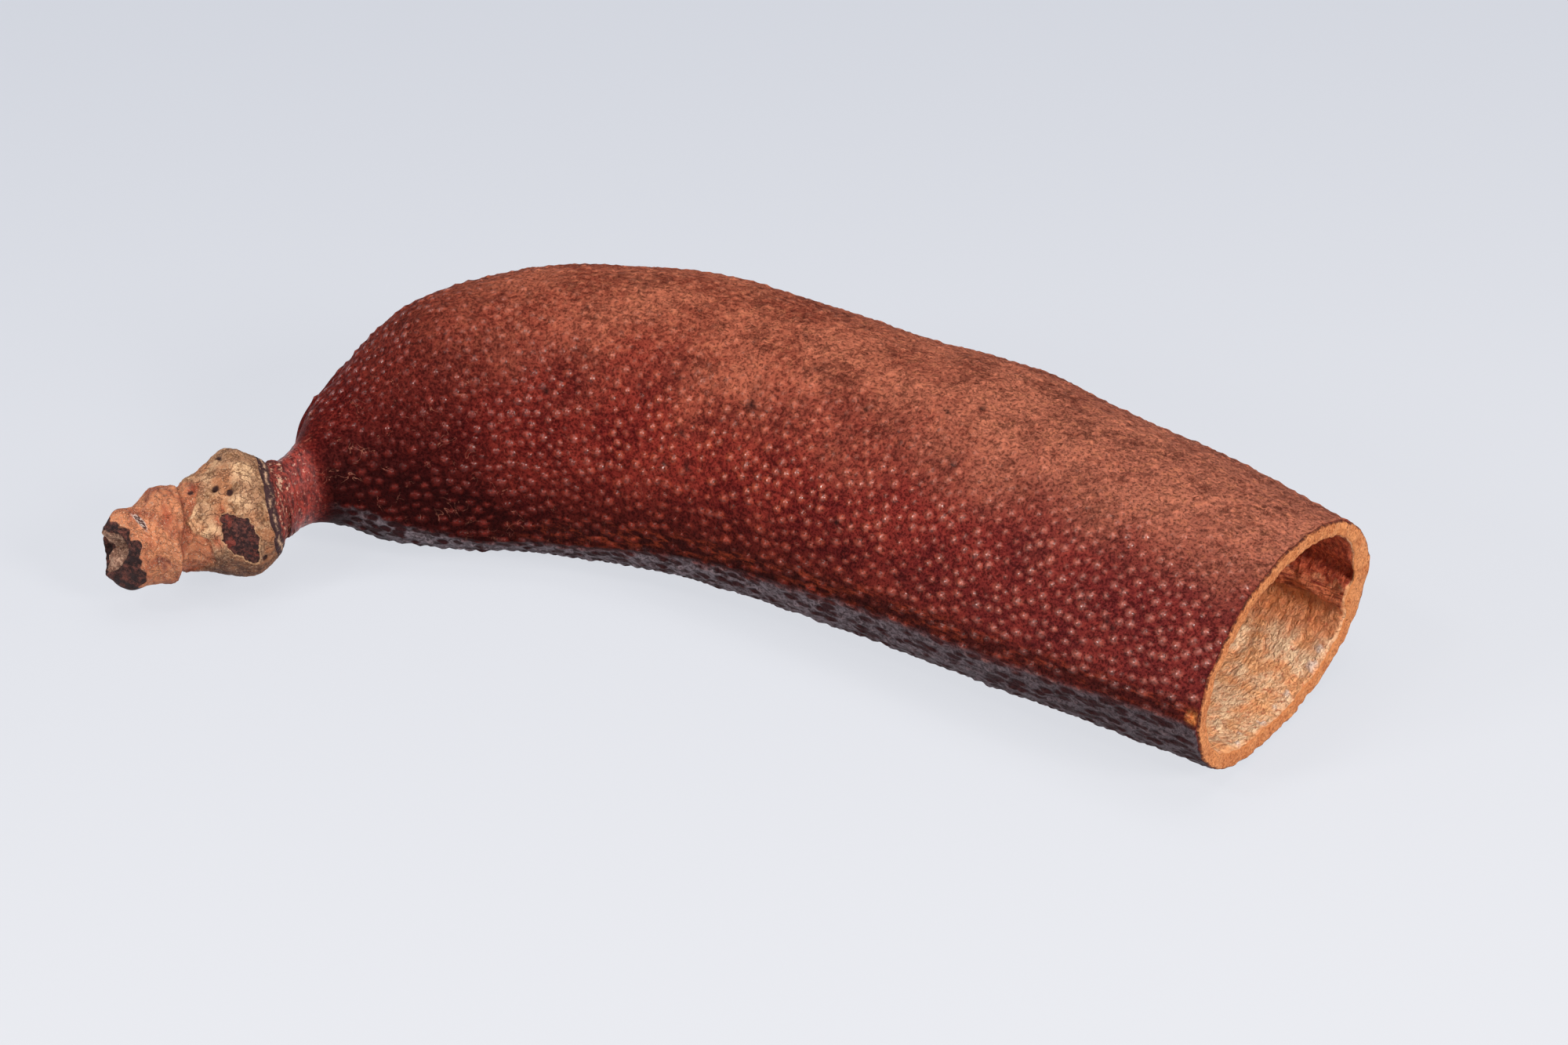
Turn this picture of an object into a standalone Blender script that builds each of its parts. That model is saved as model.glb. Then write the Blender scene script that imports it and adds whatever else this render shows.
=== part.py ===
"""A dry carob pod with its woody stalk, lying on its broad side, cut open at one end.

The frame: +Z up, the ground at Z = 0, the cut mouth towards +X, the stalk towards -X.
The far seam, the outside of the bend, is on the +Y side and the near seam on the -Y side.
Lengths below are in millimetres; meshes are made in metres.
"""
import math

import bpy
import numpy as np

MM = 0.001

# The pod's axis seen from above, from the neck's end to the cut mouth.
AXIS = (
    (-60.4, -17.9), (-51.7, -8.3), (-43.7, 1.0), (-33.7, 8.4), (-20.7, 12.5),
    (-3.7, 13.4), (16.3, 11.4), (41.3, 7.6), (74.3, 1.4),
)
POD_LENGTH = 147.4
AXIS_SAMPLES = 1200
TANGENT_REACH = 0.6

# Stations along the axis: distance, half widths out to the far and the near seam,
# heights of the crown and of the belly, and heights of the far and the near seam.
STATIONS = (
    (0.0, 5.0, 4.4, 16.0, 6.3, 11.0, 11.0),
    (4.0, 7.5, 2.2, 17.0, 6.0, 11.5, 11.3),
    (8.0, 13.5, 3.2, 18.7, 4.5, 13.0, 10.8),
    (14.0, 17.0, 6.7, 22.5, 1.8, 15.5, 8.0),
    (22.0, 18.5, 11.2, 31.0, 0.5, 17.5, 6.3),
    (34.0, 21.0, 14.8, 34.3, 0.2, 18.5, 6.3),
    (50.0, 23.0, 17.6, 35.2, -0.1, 18.5, 7.7),
    (70.0, 24.0, 19.3, 34.3, -0.3, 18.0, 10.3),
    (95.0, 24.7, 20.5, 32.9, -0.3, 17.0, 12.0),
    (120.0, 24.3, 21.7, 31.4, 0.1, 15.8, 13.0),
    (POD_LENGTH, 22.0, 22.0, 28.3, 0.6, 14.3, 14.6),
)

# How full each quarter of a section is, from 2 for an ellipse: first across, then upright.
# A lower second value pinches the seam into an edge.
FULLNESS_FAR_TOP = (2.1, 1.6)
FULLNESS_NEAR_TOP = (2.2, 1.6)
FULLNESS_NEAR_BELLY = (2.8, 2.1)
FULLNESS_FAR_BELLY = (2.1, 1.8)
QUARTER_SAMPLES = 80

# The seeds' low swellings on the far upper side: place along the axis, and height.
SEED_SWELLINGS = ((58.0, 0.5), (100.0, 1.2), (131.0, 0.4))
SWELLING_LENGTH = 9.0
SWELLING_TURN = 0.17
SWELLING_SHARPNESS = 1.5

# The skin's pimples, on every third point of a triangular net, larger than life.
SIDES = 48
SKIN_RINGS = 69
PIMPLE_HEIGHT = 0.38
PIMPLES_START = 8.0
PIMPLES_FULL = 16.0

# The hollow: wall thicknesses at the mouth, how they grow at the far seam and behind the
# mouth, where it closes in the base, and the ridge that the seeds hung from, which runs
# along it just below the far seam.
WALL_FAR = 2.0
FAR_SEAM_THICKENING = 2.1
FAR_SEAM_WIDTH = 0.045
WALL_NEAR_SEAM = 1.9
WALL_TOP = 2.1
WALL_BELLY = 2.1
WALL_GROWTH = 0.7
WALL_GROWTH_LENGTH = 12.0
HOLLOW_END = 17.0
HOLLOW_ROUNDING = 20.0
HOLLOW_RINGS = 16
RIDGE_TURN = 0.96
RIDGE_HEIGHT = 1.8
RIDGE_WIDTH = 0.022

# The stalk: a straight woody axis leaving the neck, with its radius along it.
STALK_GAP = 0.3
STALK_START = (-60.4, -17.9, 11.0)
STALK_HEADING = math.radians(228.5)
STALK_DROP = 1.0
STALK_LENGTH = 23.2
STALK_PROFILE = (
    (0.0, 4.7), (1.4, 6.2), (3.8, 7.5), (6.0, 8.0), (8.5, 7.5), (11.5, 6.1),
    (14.0, 5.5), (17.0, 5.8), (19.5, 4.6), (22.0, 4.4), (STALK_LENGTH, 3.3),
)
STALK_SIDES = 24
STALK_RINGS = 28
END_RINGS = 3
END_DOME = 0.5
END_GROOVE_DEPTH = 1.4
END_GROOVE_WIDTH = 1.1

# Knobs and hollows of the stalk: distance, angle round it, height, spread along, spread in angle.
STALK_KNOBS = (
    (5.4, 80.0, 0.9, 2.4, 50.0),
    (4.6, 215.0, 0.6, 2.6, 45.0),
    (5.5, 320.0, 0.7, 3.0, 40.0),
    (9.5, 140.0, -0.7, 2.4, 50.0),
    (9.0, 20.0, -0.5, 2.2, 40.0),
    (16.9, 262.0, 0.9, 1.2, 26.0),
    (15.6, 75.0, 0.5, 1.5, 60.0),
    (21.6, 100.0, 0.6, 1.3, 40.0),
    (21.3, 255.0, 1.6, 1.7, 42.0),
)

SKIN_COLOUR = (0.20, 0.045, 0.025, 1.0)
STALK_COLOUR = (0.42, 0.25, 0.12, 1.0)


def smooth(places, values, at):
    """Cubic curve through values given at places, read at one or many points."""
    places = np.asarray(places, float)
    values = np.asarray(values, float)
    at = np.asarray(at, float)
    steps = np.diff(places)
    slopes = np.diff(values) / steps
    tangents = np.empty_like(values)
    tangents[0] = slopes[0]
    tangents[-1] = slopes[-1]
    weight = steps[1:] / (steps[1:] + steps[:-1])
    tangents[1:-1] = weight * slopes[:-1] + (1 - weight) * slopes[1:]
    span = np.clip(np.searchsorted(places, at, side="right") - 1, 0, len(steps) - 1)
    t = (at - places[span]) / steps[span]
    start = (1 + 2 * t) * (1 - t) ** 2 * values[span] + t * (1 - t) ** 2 * steps[span] * tangents[span]
    end = t * t * (3 - 2 * t) * values[span + 1] + t * t * (t - 1) * steps[span] * tangents[span + 1]
    return start + end


def measure_axis():
    """The axis as a fine polyline, with the distance along it."""
    points = np.asarray(AXIS)
    chord = np.concatenate([[0], np.cumsum(np.hypot(*np.diff(points, axis=0).T))])
    fine = np.linspace(0, chord[-1], AXIS_SAMPLES)
    line = np.stack([smooth(chord, points[:, 0], fine), smooth(chord, points[:, 1], fine)], axis=1)
    along = np.concatenate([[0], np.cumsum(np.hypot(*np.diff(line, axis=0).T))])
    return along, line


AXIS_ALONG, AXIS_LINE = measure_axis()


def axis_frame(distance):
    """Point of the axis and the direction to its far side, at a distance along it."""
    place = np.array([np.interp(distance, AXIS_ALONG, AXIS_LINE[:, k]) for k in range(2)])
    before = max(distance - TANGENT_REACH, 0.0)
    after = min(distance + TANGENT_REACH, AXIS_ALONG[-1])
    step = np.array([
        np.interp(after, AXIS_ALONG, AXIS_LINE[:, k]) - np.interp(before, AXIS_ALONG, AXIS_LINE[:, k])
        for k in range(2)
    ])
    step /= np.hypot(*step)
    return place, np.array([-step[1], step[0]])


def station(distance):
    """The section's six sizes at a distance along the axis."""
    table = np.asarray(STATIONS)
    return [float(smooth(table[:, 0], table[:, k], distance)) for k in range(1, 7)]


def quarter(seam, apex, fullness, turns):
    """Points of one quarter of a section, evenly spread from its seam to its apex."""
    across, upright = fullness
    angle = np.linspace(0, math.pi / 2, QUARTER_SAMPLES)
    side = apex[0] + (seam[0] - apex[0]) * np.cos(angle) ** (2 / across)
    height = seam[1] + (apex[1] - seam[1]) * np.sin(angle) ** (2 / upright)
    length = np.concatenate([[0], np.cumsum(np.hypot(np.diff(side), np.diff(height)))])
    reach = turns * length[-1]
    return np.stack([np.interp(reach, length, side), np.interp(reach, length, height)], axis=1)


def section(sizes, turns):
    """A closed section, as side and height, at the given turns: far seam 0, crown a quarter."""
    far, near, top, belly, far_height, near_height = sizes
    middle = (far - near) / 2
    corners = {"far": (far, far_height), "near": (-near, near_height)}
    crown = (middle, top)
    keel = (middle, belly)
    turns = np.asarray(turns) % 1.0
    fourth = np.floor(turns * 4).astype(int)
    part = turns * 4 - fourth
    loop = np.empty((len(turns), 2))
    plan = (
        ("far", crown, FULLNESS_FAR_TOP, False),
        ("near", crown, FULLNESS_NEAR_TOP, True),
        ("near", keel, FULLNESS_NEAR_BELLY, False),
        ("far", keel, FULLNESS_FAR_BELLY, True),
    )
    for index, (seam, apex, fullness, backwards) in enumerate(plan):
        chosen = fourth == index
        share = 1 - part[chosen] if backwards else part[chosen]
        loop[chosen] = quarter(corners[seam], apex, fullness, share)
    return loop


def outward(loop, centre):
    """Unit directions from the section's centre to its points."""
    spokes = loop - centre
    return spokes / np.hypot(spokes[:, 0], spokes[:, 1])[:, None]


def swelling(distance, turns):
    """Height of the seeds' swellings at a distance, round the section."""
    height = sum(size * math.exp(-((distance - place) / SWELLING_LENGTH) ** 2)
                 for place, size in SEED_SWELLINGS)
    return height * np.clip(np.cos(2 * math.pi * (turns - SWELLING_TURN)), 0, 1) ** SWELLING_SHARPNESS


def bell(turns, centre, width):
    """A bell of height 1 round a place in the section, where turns 0 and 1 meet."""
    off = (turns - centre + 0.5) % 1.0 - 0.5
    return np.exp(-(off / width) ** 2)


def place_loop(distance, loop):
    """A section's points set on the axis, in metres."""
    place, far_way = axis_frame(distance)
    plan = place + loop[:, :1] * far_way
    return np.column_stack([plan, loop[:, 1]]) * MM


def skin_ring(index):
    """One ring of the outer skin, with its pimples, its belly pressed flat on the ground."""
    distance = POD_LENGTH * index / (SKIN_RINGS - 1)
    sides = np.arange(SIDES)
    turns = (sides + 0.5 * (index % 2)) / SIDES
    sizes = station(distance)
    loop = section(sizes, turns)
    centre = np.array([(sizes[0] - sizes[1]) / 2, (sizes[2] + sizes[3]) / 2])
    pimples = np.where((sides - index // 2 - index) % 3 == 0, PIMPLE_HEIGHT, 0.0)
    fade = np.clip((distance - PIMPLES_START) / (PIMPLES_FULL - PIMPLES_START), 0, 1)
    raised = pimples * fade + swelling(distance, turns)
    loop = loop + outward(loop, centre) * raised[:, None]
    loop[:, 1] = np.maximum(loop[:, 1], 0.0)
    return place_loop(distance, loop)


def hollow_sizes(distance):
    """The hollow's section sizes: the skin's, less the wall."""
    far, near, top, belly, far_height, near_height = station(distance)
    belly = max(belly, 0.0)
    return [far - WALL_FAR, near - WALL_NEAR_SEAM, top - WALL_TOP, belly + WALL_BELLY,
            far_height, near_height]


def hollow_ring(index):
    """One ring of the hollow, from the mouth inwards, drawn in round at its closed end."""
    depth = math.sin(0.5 * math.pi * index / HOLLOW_RINGS)
    distance = POD_LENGTH - (POD_LENGTH - HOLLOW_END) * depth
    sizes = hollow_sizes(distance)
    turns = np.arange(SIDES) / SIDES
    loop = section(sizes, turns)
    closing = np.clip((HOLLOW_END + HOLLOW_ROUNDING - distance) / HOLLOW_ROUNDING, 0, 1)
    centre = np.array([(sizes[0] - sizes[1]) / 2, (sizes[2] + sizes[3]) / 2])
    inward = RIDGE_HEIGHT * bell(turns, RIDGE_TURN, RIDGE_WIDTH)
    inward += FAR_SEAM_THICKENING * bell(turns, 0.0, FAR_SEAM_WIDTH)
    inward += WALL_GROWTH * min((POD_LENGTH - distance) / WALL_GROWTH_LENGTH, 1.0)
    loop -= outward(loop, centre) * inward[:, None]
    loop = centre + (loop - centre) * math.sqrt(max(1 - closing ** 2, 0.0))
    return place_loop(distance, loop)


def band(lower, upper, staggered):
    """Triangles between two rings of point numbers, the upper one moved on by half a step or not."""
    count = len(lower)
    faces = []
    for side in range(count):
        after = (side + 1) % count
        a, b = lower[side], lower[after]
        c, d = upper[side], upper[after]
        if staggered:
            faces += [(a, b, c), (b, d, c)]
        else:
            faces += [(a, b, d), (a, d, c)]
    return faces


def build_mesh(name, points, faces, collection, colour, roughness):
    """A mesh object from its points and faces, with its own plain material."""
    mesh = bpy.data.meshes.new(name)
    mesh.from_pydata([tuple(point) for point in points], [], faces)
    mesh.validate()
    mesh.update()
    material = bpy.data.materials.new(name + "_finish")
    material.use_nodes = True
    shader = material.node_tree.nodes["Principled BSDF"]
    shader.inputs["Base Color"].default_value = colour
    shader.inputs["Roughness"].default_value = roughness
    shader.inputs["Metallic"].default_value = 0.0
    mesh.materials.append(material)
    item = bpy.data.objects.new(name, mesh)
    collection.objects.link(item)
    return item


def make_pod_shell(collection):
    """The pod: pimpled skin from neck to mouth, the cut rim, and the hollow inside."""
    points = []
    faces = []
    rings = []

    def add_ring(ring):
        first = len(points)
        points.extend(ring)
        rings.append(list(range(first, len(points))))

    for index in range(SKIN_RINGS):
        add_ring(skin_ring(index))
    faces.append(tuple(reversed(rings[0])))
    for index in range(SKIN_RINGS - 1):
        lower, upper = rings[index], rings[index + 1]
        if index % 2 == 1:
            upper = upper[1:] + upper[:1]
        faces += band(lower, upper, True)
    for index in range(HOLLOW_RINGS):
        add_ring(hollow_ring(index))
        faces += band(rings[-2], rings[-1], False)
    points.append(hollow_ring(HOLLOW_RINGS)[0])
    apex = len(points) - 1
    last = rings[-1]
    faces += [(last[k], last[(k + 1) % SIDES], apex) for k in range(SIDES)]
    return build_mesh("pod_shell", points, faces, collection, SKIN_COLOUR, 0.45)


def stalk_point(distance, angle, radius):
    """A point of the stalk, in metres: the angle starts at the far side and turns up."""
    ahead = np.array([math.cos(STALK_HEADING), math.sin(STALK_HEADING)])
    aside = np.array([ahead[1], -ahead[0]])
    plan = np.array(STALK_START[:2]) + ahead * (distance + STALK_GAP) + aside * radius * math.cos(angle)
    height = STALK_START[2] - STALK_DROP * distance / STALK_LENGTH + radius * math.sin(angle)
    return np.array([plan[0], plan[1], height]) * MM


def stalk_radius(distance, angle):
    """The stalk's radius, with its knobs and hollows."""
    places, radii = zip(*STALK_PROFILE)
    radius = float(smooth(places, radii, distance))
    for place, turn, height, spread, width in STALK_KNOBS:
        off = math.degrees(angle) - turn
        off = (off + 180.0) % 360.0 - 180.0
        radius += height * math.exp(-((distance - place) / spread) ** 2 - (off / width) ** 2)
    return radius


def make_stalk(collection):
    """The woody stalk: knobbly from the neck to its broken end, which a groove splits in two."""
    points = []
    faces = []
    rings = []
    angles = [2 * math.pi * side / STALK_SIDES for side in range(STALK_SIDES)]

    def add_ring(ring):
        first = len(points)
        points.extend(ring)
        rings.append(list(range(first, len(points))))

    for index in range(STALK_RINGS):
        distance = STALK_LENGTH * index / (STALK_RINGS - 1)
        add_ring([stalk_point(distance, angle, stalk_radius(distance, angle)) for angle in angles])
    for index in range(1, END_RINGS + 1):
        share = 1 - index / (END_RINGS + 1)
        ring = []
        for angle in angles:
            radius = share * stalk_radius(STALK_LENGTH, angle)
            groove = END_GROOVE_DEPTH * math.exp(-(radius * math.sin(angle) / END_GROOVE_WIDTH) ** 2)
            ring.append(stalk_point(STALK_LENGTH + END_DOME * (1 - share) - groove, angle, radius))
        add_ring(ring)
    faces.append(tuple(reversed(rings[0])))
    for lower, upper in zip(rings, rings[1:]):
        faces += band(lower, upper, False)
    points.append(stalk_point(STALK_LENGTH + END_DOME - END_GROOVE_DEPTH, 0.0, 0.0))
    tip = len(points) - 1
    last = rings[-1]
    faces += [(last[k], last[(k + 1) % STALK_SIDES], tip) for k in range(STALK_SIDES)]
    # The stalk runs back from the neck, so its rings turn the other way round.
    faces = [tuple(reversed(face)) for face in faces]
    return build_mesh("stalk", points, faces, collection, STALK_COLOUR, 0.8)


def main():
    for item in list(bpy.data.objects):
        bpy.data.objects.remove(item)
    collection = bpy.data.collections.new("carob_pod")
    bpy.context.scene.collection.children.link(collection)
    make_pod_shell(collection)
    make_stalk(collection)


main()
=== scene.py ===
"""The looks of a dry carob pod with its woody stalk, lying on its broad side, cut open.

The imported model's frame: +Z up, the ground at Z = 0, the cut mouth towards +X and the stalk
towards -X, the outside of the bend on the +Y side. Lengths below are in millimetres, and
meshes are made in metres. The pod's and the stalk's forms follow the solids' own formulas,
and the fine relief and the colours are added here.
"""
import math

import bpy
import numpy as np
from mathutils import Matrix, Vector, kdtree, noise


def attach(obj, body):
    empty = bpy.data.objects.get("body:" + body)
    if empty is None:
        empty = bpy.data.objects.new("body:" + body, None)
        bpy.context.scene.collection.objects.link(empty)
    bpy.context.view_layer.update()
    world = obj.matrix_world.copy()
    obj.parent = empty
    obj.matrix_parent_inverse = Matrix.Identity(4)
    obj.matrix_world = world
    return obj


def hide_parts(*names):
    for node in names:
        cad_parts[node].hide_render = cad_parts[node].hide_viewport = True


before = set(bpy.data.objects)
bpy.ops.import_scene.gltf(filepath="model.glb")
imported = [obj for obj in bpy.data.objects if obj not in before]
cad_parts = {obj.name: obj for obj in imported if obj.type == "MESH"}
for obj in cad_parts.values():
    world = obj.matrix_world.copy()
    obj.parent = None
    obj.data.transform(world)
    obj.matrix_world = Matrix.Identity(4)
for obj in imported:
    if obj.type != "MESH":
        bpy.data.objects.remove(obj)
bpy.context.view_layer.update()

MM = 0.001

# The pod's axis seen from above, from the neck's end to the cut mouth.
AXIS = (
    (-60.4, -17.9), (-51.7, -8.3), (-43.7, 1), (-33.7, 8.4), (-20.7, 12.5),
    (-3.7, 13.4), (16.3, 11.4), (41.3, 7.6), (74.3, 1.4),
)
POD_LENGTH = 147.4
AXIS_SAMPLES = 1200
TANGENT_REACH = 0.6

# Stations along the axis: distance, half widths out to the far and the near seam,
# heights of the crown and of the belly, and heights of the far and the near seam.
STATIONS = (
    (0, 5, 4.4, 16, 6.3, 11, 11),
    (4, 7.5, 2.2, 17, 6, 11.5, 11.3),
    (8, 13.5, 3.2, 18.7, 4.5, 13, 10.8),
    (14, 17, 6.7, 22.5, 1.8, 15.5, 8),
    (22, 18.5, 11.2, 31, 0.5, 17.5, 6.3),
    (34, 21, 14.8, 34.3, 0.2, 18.5, 6.3),
    (50, 23, 17.6, 35.2, -0.1, 18.5, 7.7),
    (70, 24, 19.3, 34.3, -0.3, 18, 10.3),
    (95, 24.7, 20.5, 32.9, -0.3, 17, 12),
    (120, 24.3, 21.7, 31.4, 0.1, 15.8, 13),
    (POD_LENGTH, 22, 22, 28.3, 0.6, 14.3, 14.6),
)
FULLNESS_FAR_TOP = (2.1, 1.6)
FULLNESS_NEAR_TOP = (2.2, 1.6)
FULLNESS_NEAR_BELLY = (2.8, 2.1)
FULLNESS_FAR_BELLY = (2.1, 1.8)
QUARTER_SAMPLES = 80

# The seeds' low swellings on the far upper side: place along the axis, and height.
SEED_SWELLINGS = ((58, 0.5), (100, 1.2), (131, 0.4))
SWELLING_LENGTH = 9.0
SWELLING_TURN = 0.17
SWELLING_SHARPNESS = 1.5

# The hollow: its wall's thicknesses, which grow at the far seam and behind the mouth,
# where it closes, and the ridge below the far seam.
WALL_FAR = 2.0
FAR_SEAM_THICKENING = 2.1
FAR_SEAM_WIDTH = 0.045
WALL_NEAR_SEAM = 1.9
WALL_TOP = 2.1
WALL_BELLY = 2.1
WALL_GROWTH = 0.7
WALL_GROWTH_LENGTH = 12.0
HOLLOW_END = 17.0
HOLLOW_ROUNDING = 20.0
RIDGE_TURN = 0.96
RIDGE_HEIGHT = 1.8
RIDGE_WIDTH = 0.022

# The stalk: a straight woody axis leaving the neck, with its radius along it.
STALK_GAP = 0.3
STALK_START = (-60.4, -17.9, 11.0)
STALK_HEADING = math.radians(228.5)
STALK_DROP = 1.0
STALK_LENGTH = 23.2
STALK_PROFILE = (
    (0, 4.7), (1.4, 6.2), (3.8, 7.5), (6, 8), (8.5, 7.5), (11.5, 6.1),
    (14, 5.5), (17, 5.8), (19.5, 4.6), (22, 4.4), (STALK_LENGTH, 3.3),
)
# Knobs and hollows of the stalk: distance, angle, spread along, spread in angle, height.
STALK_KNOBS = (
    (5.4, 80, 2.4, 50, 0.9),
    (4.6, 215, 2.6, 45, 0.6),
    (5.5, 320, 3, 40, 0.7),
    (9.5, 140, 2.4, 50, -0.7),
    (9, 20, 2.2, 40, -0.5),
    (16.9, 262, 1.2, 26, 0.9),
    (15.6, 75, 1.5, 60, 0.5),
    (21.6, 100, 1.3, 40, 0.6),
    (21.3, 255, 1.7, 42, 1.6),
)

# How finely the pod's mesh is laid out.
SIDES = 256
SKIN_RINGS = 284
INNER_START = 0.9
INNER_FINE_REACH = 27.0
INNER_FINE_STEP = 0.6
INNER_COARSE_RINGS = 26
SEED = 41

# The skin's pimples: spacing, radius and height, and how they change over the pod.
PIMPLE_SPACING = 1.34
PIMPLE_TRIES = 80000
PIMPLE_RADIUS = (0.46, 0.84)
PIMPLE_HEIGHT = (0.12, 0.38)
PIMPLES_START = 6.8
PIMPLES_FULL = 12.0
NEAR_SEAM_STRETCH = 1.7
NEAR_CREST_HEIGHT = 0.80
NEAR_CREST_WIDTH = 0.014
# What a face's corner keeps where no pimple is near: along, across and height.
NO_PIMPLE = (9.0, 9.0, 0.0)

# The cut rim, from the skin to the hollow: how far back from the cut, share of the wall.
CUT_RIM = (
    (0.3, 0), (0.09, 0.035), (0, 0.1), (0, 0.28), (0, 0.46), (0, 0.64),
    (0, 0.82), (0.06, 0.94), (0.25, 1),
)

# Warts and pits of the skin: distance, turn, radius, height.
WARTS = (
    (72, 0.35, 0.7, 0.32), (61, 0.42, 0.5, -0.25), (63, 0.39, 0.45, 0.3),
    (65, 0.42, 0.5, 0.28), (132, 0.43, 0.42, 0.28), (133.2, 0.437, 0.38, 0.26),
    (88, 0.32, 0.4, -0.22), (98, 0.29, 0.45, -0.25), (103, 0.34, 0.5, -0.28),
    (102, 0.27, 0.45, -0.25), (38, 0.36, 0.45, -0.22), (90, 0.43, 0.45, 0.26),
    (75, 0.17, 0.6, -0.25), (70, 0.93, 0.7, 0.3), (110, 0.88, 0.6, -0.25),
    (47, 0.8, 0.6, 0.28),
)

# Resin drops on the hollow's wall: distance back from the cut, turn, radius.
RESIN_DROPS = (
    (2.4, 0.575, 0.9), (3.4, 0.585, 0.8), (4.5, 0.58, 0.7), (3, 0.6, 0.6),
    (1.2, 0.66, 0.6), (1.1, 0.72, 0.7), (1.4, 0.79, 0.6), (1.2, 0.85, 0.8), (1.3, 0.875, 0.6),
    (2.2, 0.68, 0.4), (1.7, 0.76, 0.4),
)

# The collar where the stalk grips the neck.
COLLAR_REACH = 0.8
COLLAR_CLEARANCE = 0.10
COLLAR_THICKNESS = 0.18
# The dark band on the knob's face: its edge at the outline, and how much further it goes
# on the side that looks up and forward; then its width.
BAND_EDGE = 1.7
BAND_EDGE_FORWARD = 1.8
BAND_FORWARD = math.radians(150.0)
BAND_WIDTH = 1.5
# How finely the stalk's mesh is laid out.
STALK_SIDES = 220
STALK_RINGS = 200
END_RINGS = 34

# Dark pits of the corky knob: distance, angle, spread along, spread in angle, depth.
CORK_PITS = (
    (9.1, 109, 0.5, 4.5, 0.9), (7.7, 122, 0.5, 3.8, 0.7), (12, 93, 0.45, 5, 0.6),
    (7.1, 72, 0.3, 10, 0.7), (4.7, 199, 0.4, 4, 0.5), (5, 20, 0.5, 5, 0.6),
    (8, 300, 0.5, 5, 0.6), (6, 345, 0.45, 4, 0.5), (7.5, 40, 0.45, 5, 0.5),
)

# Rust-red spots where the bark is thin: distance, angle, spread along, spread in angle.
RED_SPOTS = (
    (9.9, 148, 0.45, 8), (9.2, 137, 0.3, 6), (11.6, 94, 1, 10), (10.6, 172, 0.7, 9),
    (16.6, 126, 1, 10), (14, 232, 1.4, 14), (12, 20, 1.2, 14),
)

# The dark patch where the bark has come off, and the ring mark on the joint, whose four
# numbers are distance, angle, spread along and spread in angle.
PATCH_PLACE = 7.7
PATCH_TURN = 172.0
PATCH_LENGTH = 2.3
PATCH_WIDTH = 25.0
RING_MARK = (20.8, 116.0, 0.62, 17.0)

# The cork's edge against the orange joint, and the joint's own raised scale: angle, distance.
CORK_EDGE = ((0, 12.4), (60, 12), (98, 11), (118, 12.3), (140, 14.1), (154, 13.3),
             (168, 11.5), (184, 11.3), (200, 10.9), (218, 12.2), (236, 14),
             (260, 14), (310, 13), (360, 12.4))
SCALE_EDGE = ((0, 13.4), (77, 13.5), (120, 14.1), (142, 14.5), (165, 15.3),
              (190, 15.5), (220, 16), (260, 15.6), (310, 14.2), (360, 13.4))

# The broken end: the angle that its slant faces, half the slant and where it starts; the
# line of its two lobes, how far each is from the middle and how high; and its low and its
# high ragged lip, each with its length and its angle, and where they start.
END_FACES = math.radians(172.0)
END_SLANT = 1.0
END_SLANT_START = 15.0
LOBES_LINE = math.radians(60.0)
LOBE_OFFSET = 1.9
LOBE_HEIGHT = 1.9
LOW_LIP = 2.2
LOW_LIP_TURN = 255.0
HIGH_LIP = 1.2
HIGH_LIP_TURN = 84.0
LIPS_START = 18.5

# Small changes to the stalk's form: distance, angle, spread along, spread in angle, height.
STALK_FILL = ((19.1, 252, 1.3, 42, 1.2), (16.7, 262, 1.3, 24, -0.5))

# Camera and picture, as worked out from the outline of the pod in the photograph.
CAMERA_PLACE = (206.5, -451.9, 338.9)
CAMERA_TARGET = (-3.7, 20.2, 0.0)
CAMERA_LENS = 103.45
CAMERA_SENSOR = 36.0


def smooth(places, values, at):
    """Cubic curve through values given at places, read at one or many points."""
    places = np.asarray(places, float)
    values = np.asarray(values, float)
    at = np.asarray(at, float)
    steps = np.diff(places)
    slopes = np.diff(values) / steps
    tangents = np.empty_like(values)
    tangents[0] = slopes[0]
    tangents[-1] = slopes[-1]
    weight = steps[1:] / (steps[1:] + steps[:-1])
    tangents[1:-1] = weight * slopes[:-1] + (1 - weight) * slopes[1:]
    span = np.clip(np.searchsorted(places, at, side="right") - 1, 0, len(steps) - 1)
    t = (at - places[span]) / steps[span]
    start = (1 + 2 * t) * (1 - t) ** 2 * values[span] + t * (1 - t) ** 2 * steps[span] * tangents[span]
    end = t * t * (3 - 2 * t) * values[span + 1] + t * t * (t - 1) * steps[span] * tangents[span + 1]
    return start + end


def ease(values, low, high):
    """0 below low, 1 above high, smooth between; low may be the larger."""
    t = np.clip((np.asarray(values, float) - low) / (high - low), 0, 1)
    return t * t * (3 - 2 * t)


def hill(values, centre, width):
    """A bell of height 1 round a centre."""
    return np.exp(-((np.asarray(values, float) - centre) / width) ** 2)


def turn_hill(turns, centre, width):
    """A bell round a place in the section, where turns 0 and 1 meet."""
    return hill((np.asarray(turns, float) - centre + 0.5) % 1.0 - 0.5, 0, width)


def rough(points, size, seed=0, octaves=1, stretch=(1, 1, 1)):
    """Noise from about -1 to 1 over points in millimetres, with lumps about size apart."""
    points = points * np.array(stretch)
    shift = Vector((seed * 17.3, seed * 5.1, seed * 9.7))
    total = np.zeros(len(points))
    strength = 1.0
    for _ in range(octaves):
        total += strength * np.array([noise.noise(Vector(p) + shift) for p in points / size])
        size *= 0.5
        strength *= 0.5
    return total


def lengths_along(points):
    """The distance along a line of points, at each of them."""
    return np.concatenate([[0], np.cumsum(np.hypot(*np.diff(points, axis=0).T))])


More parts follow.
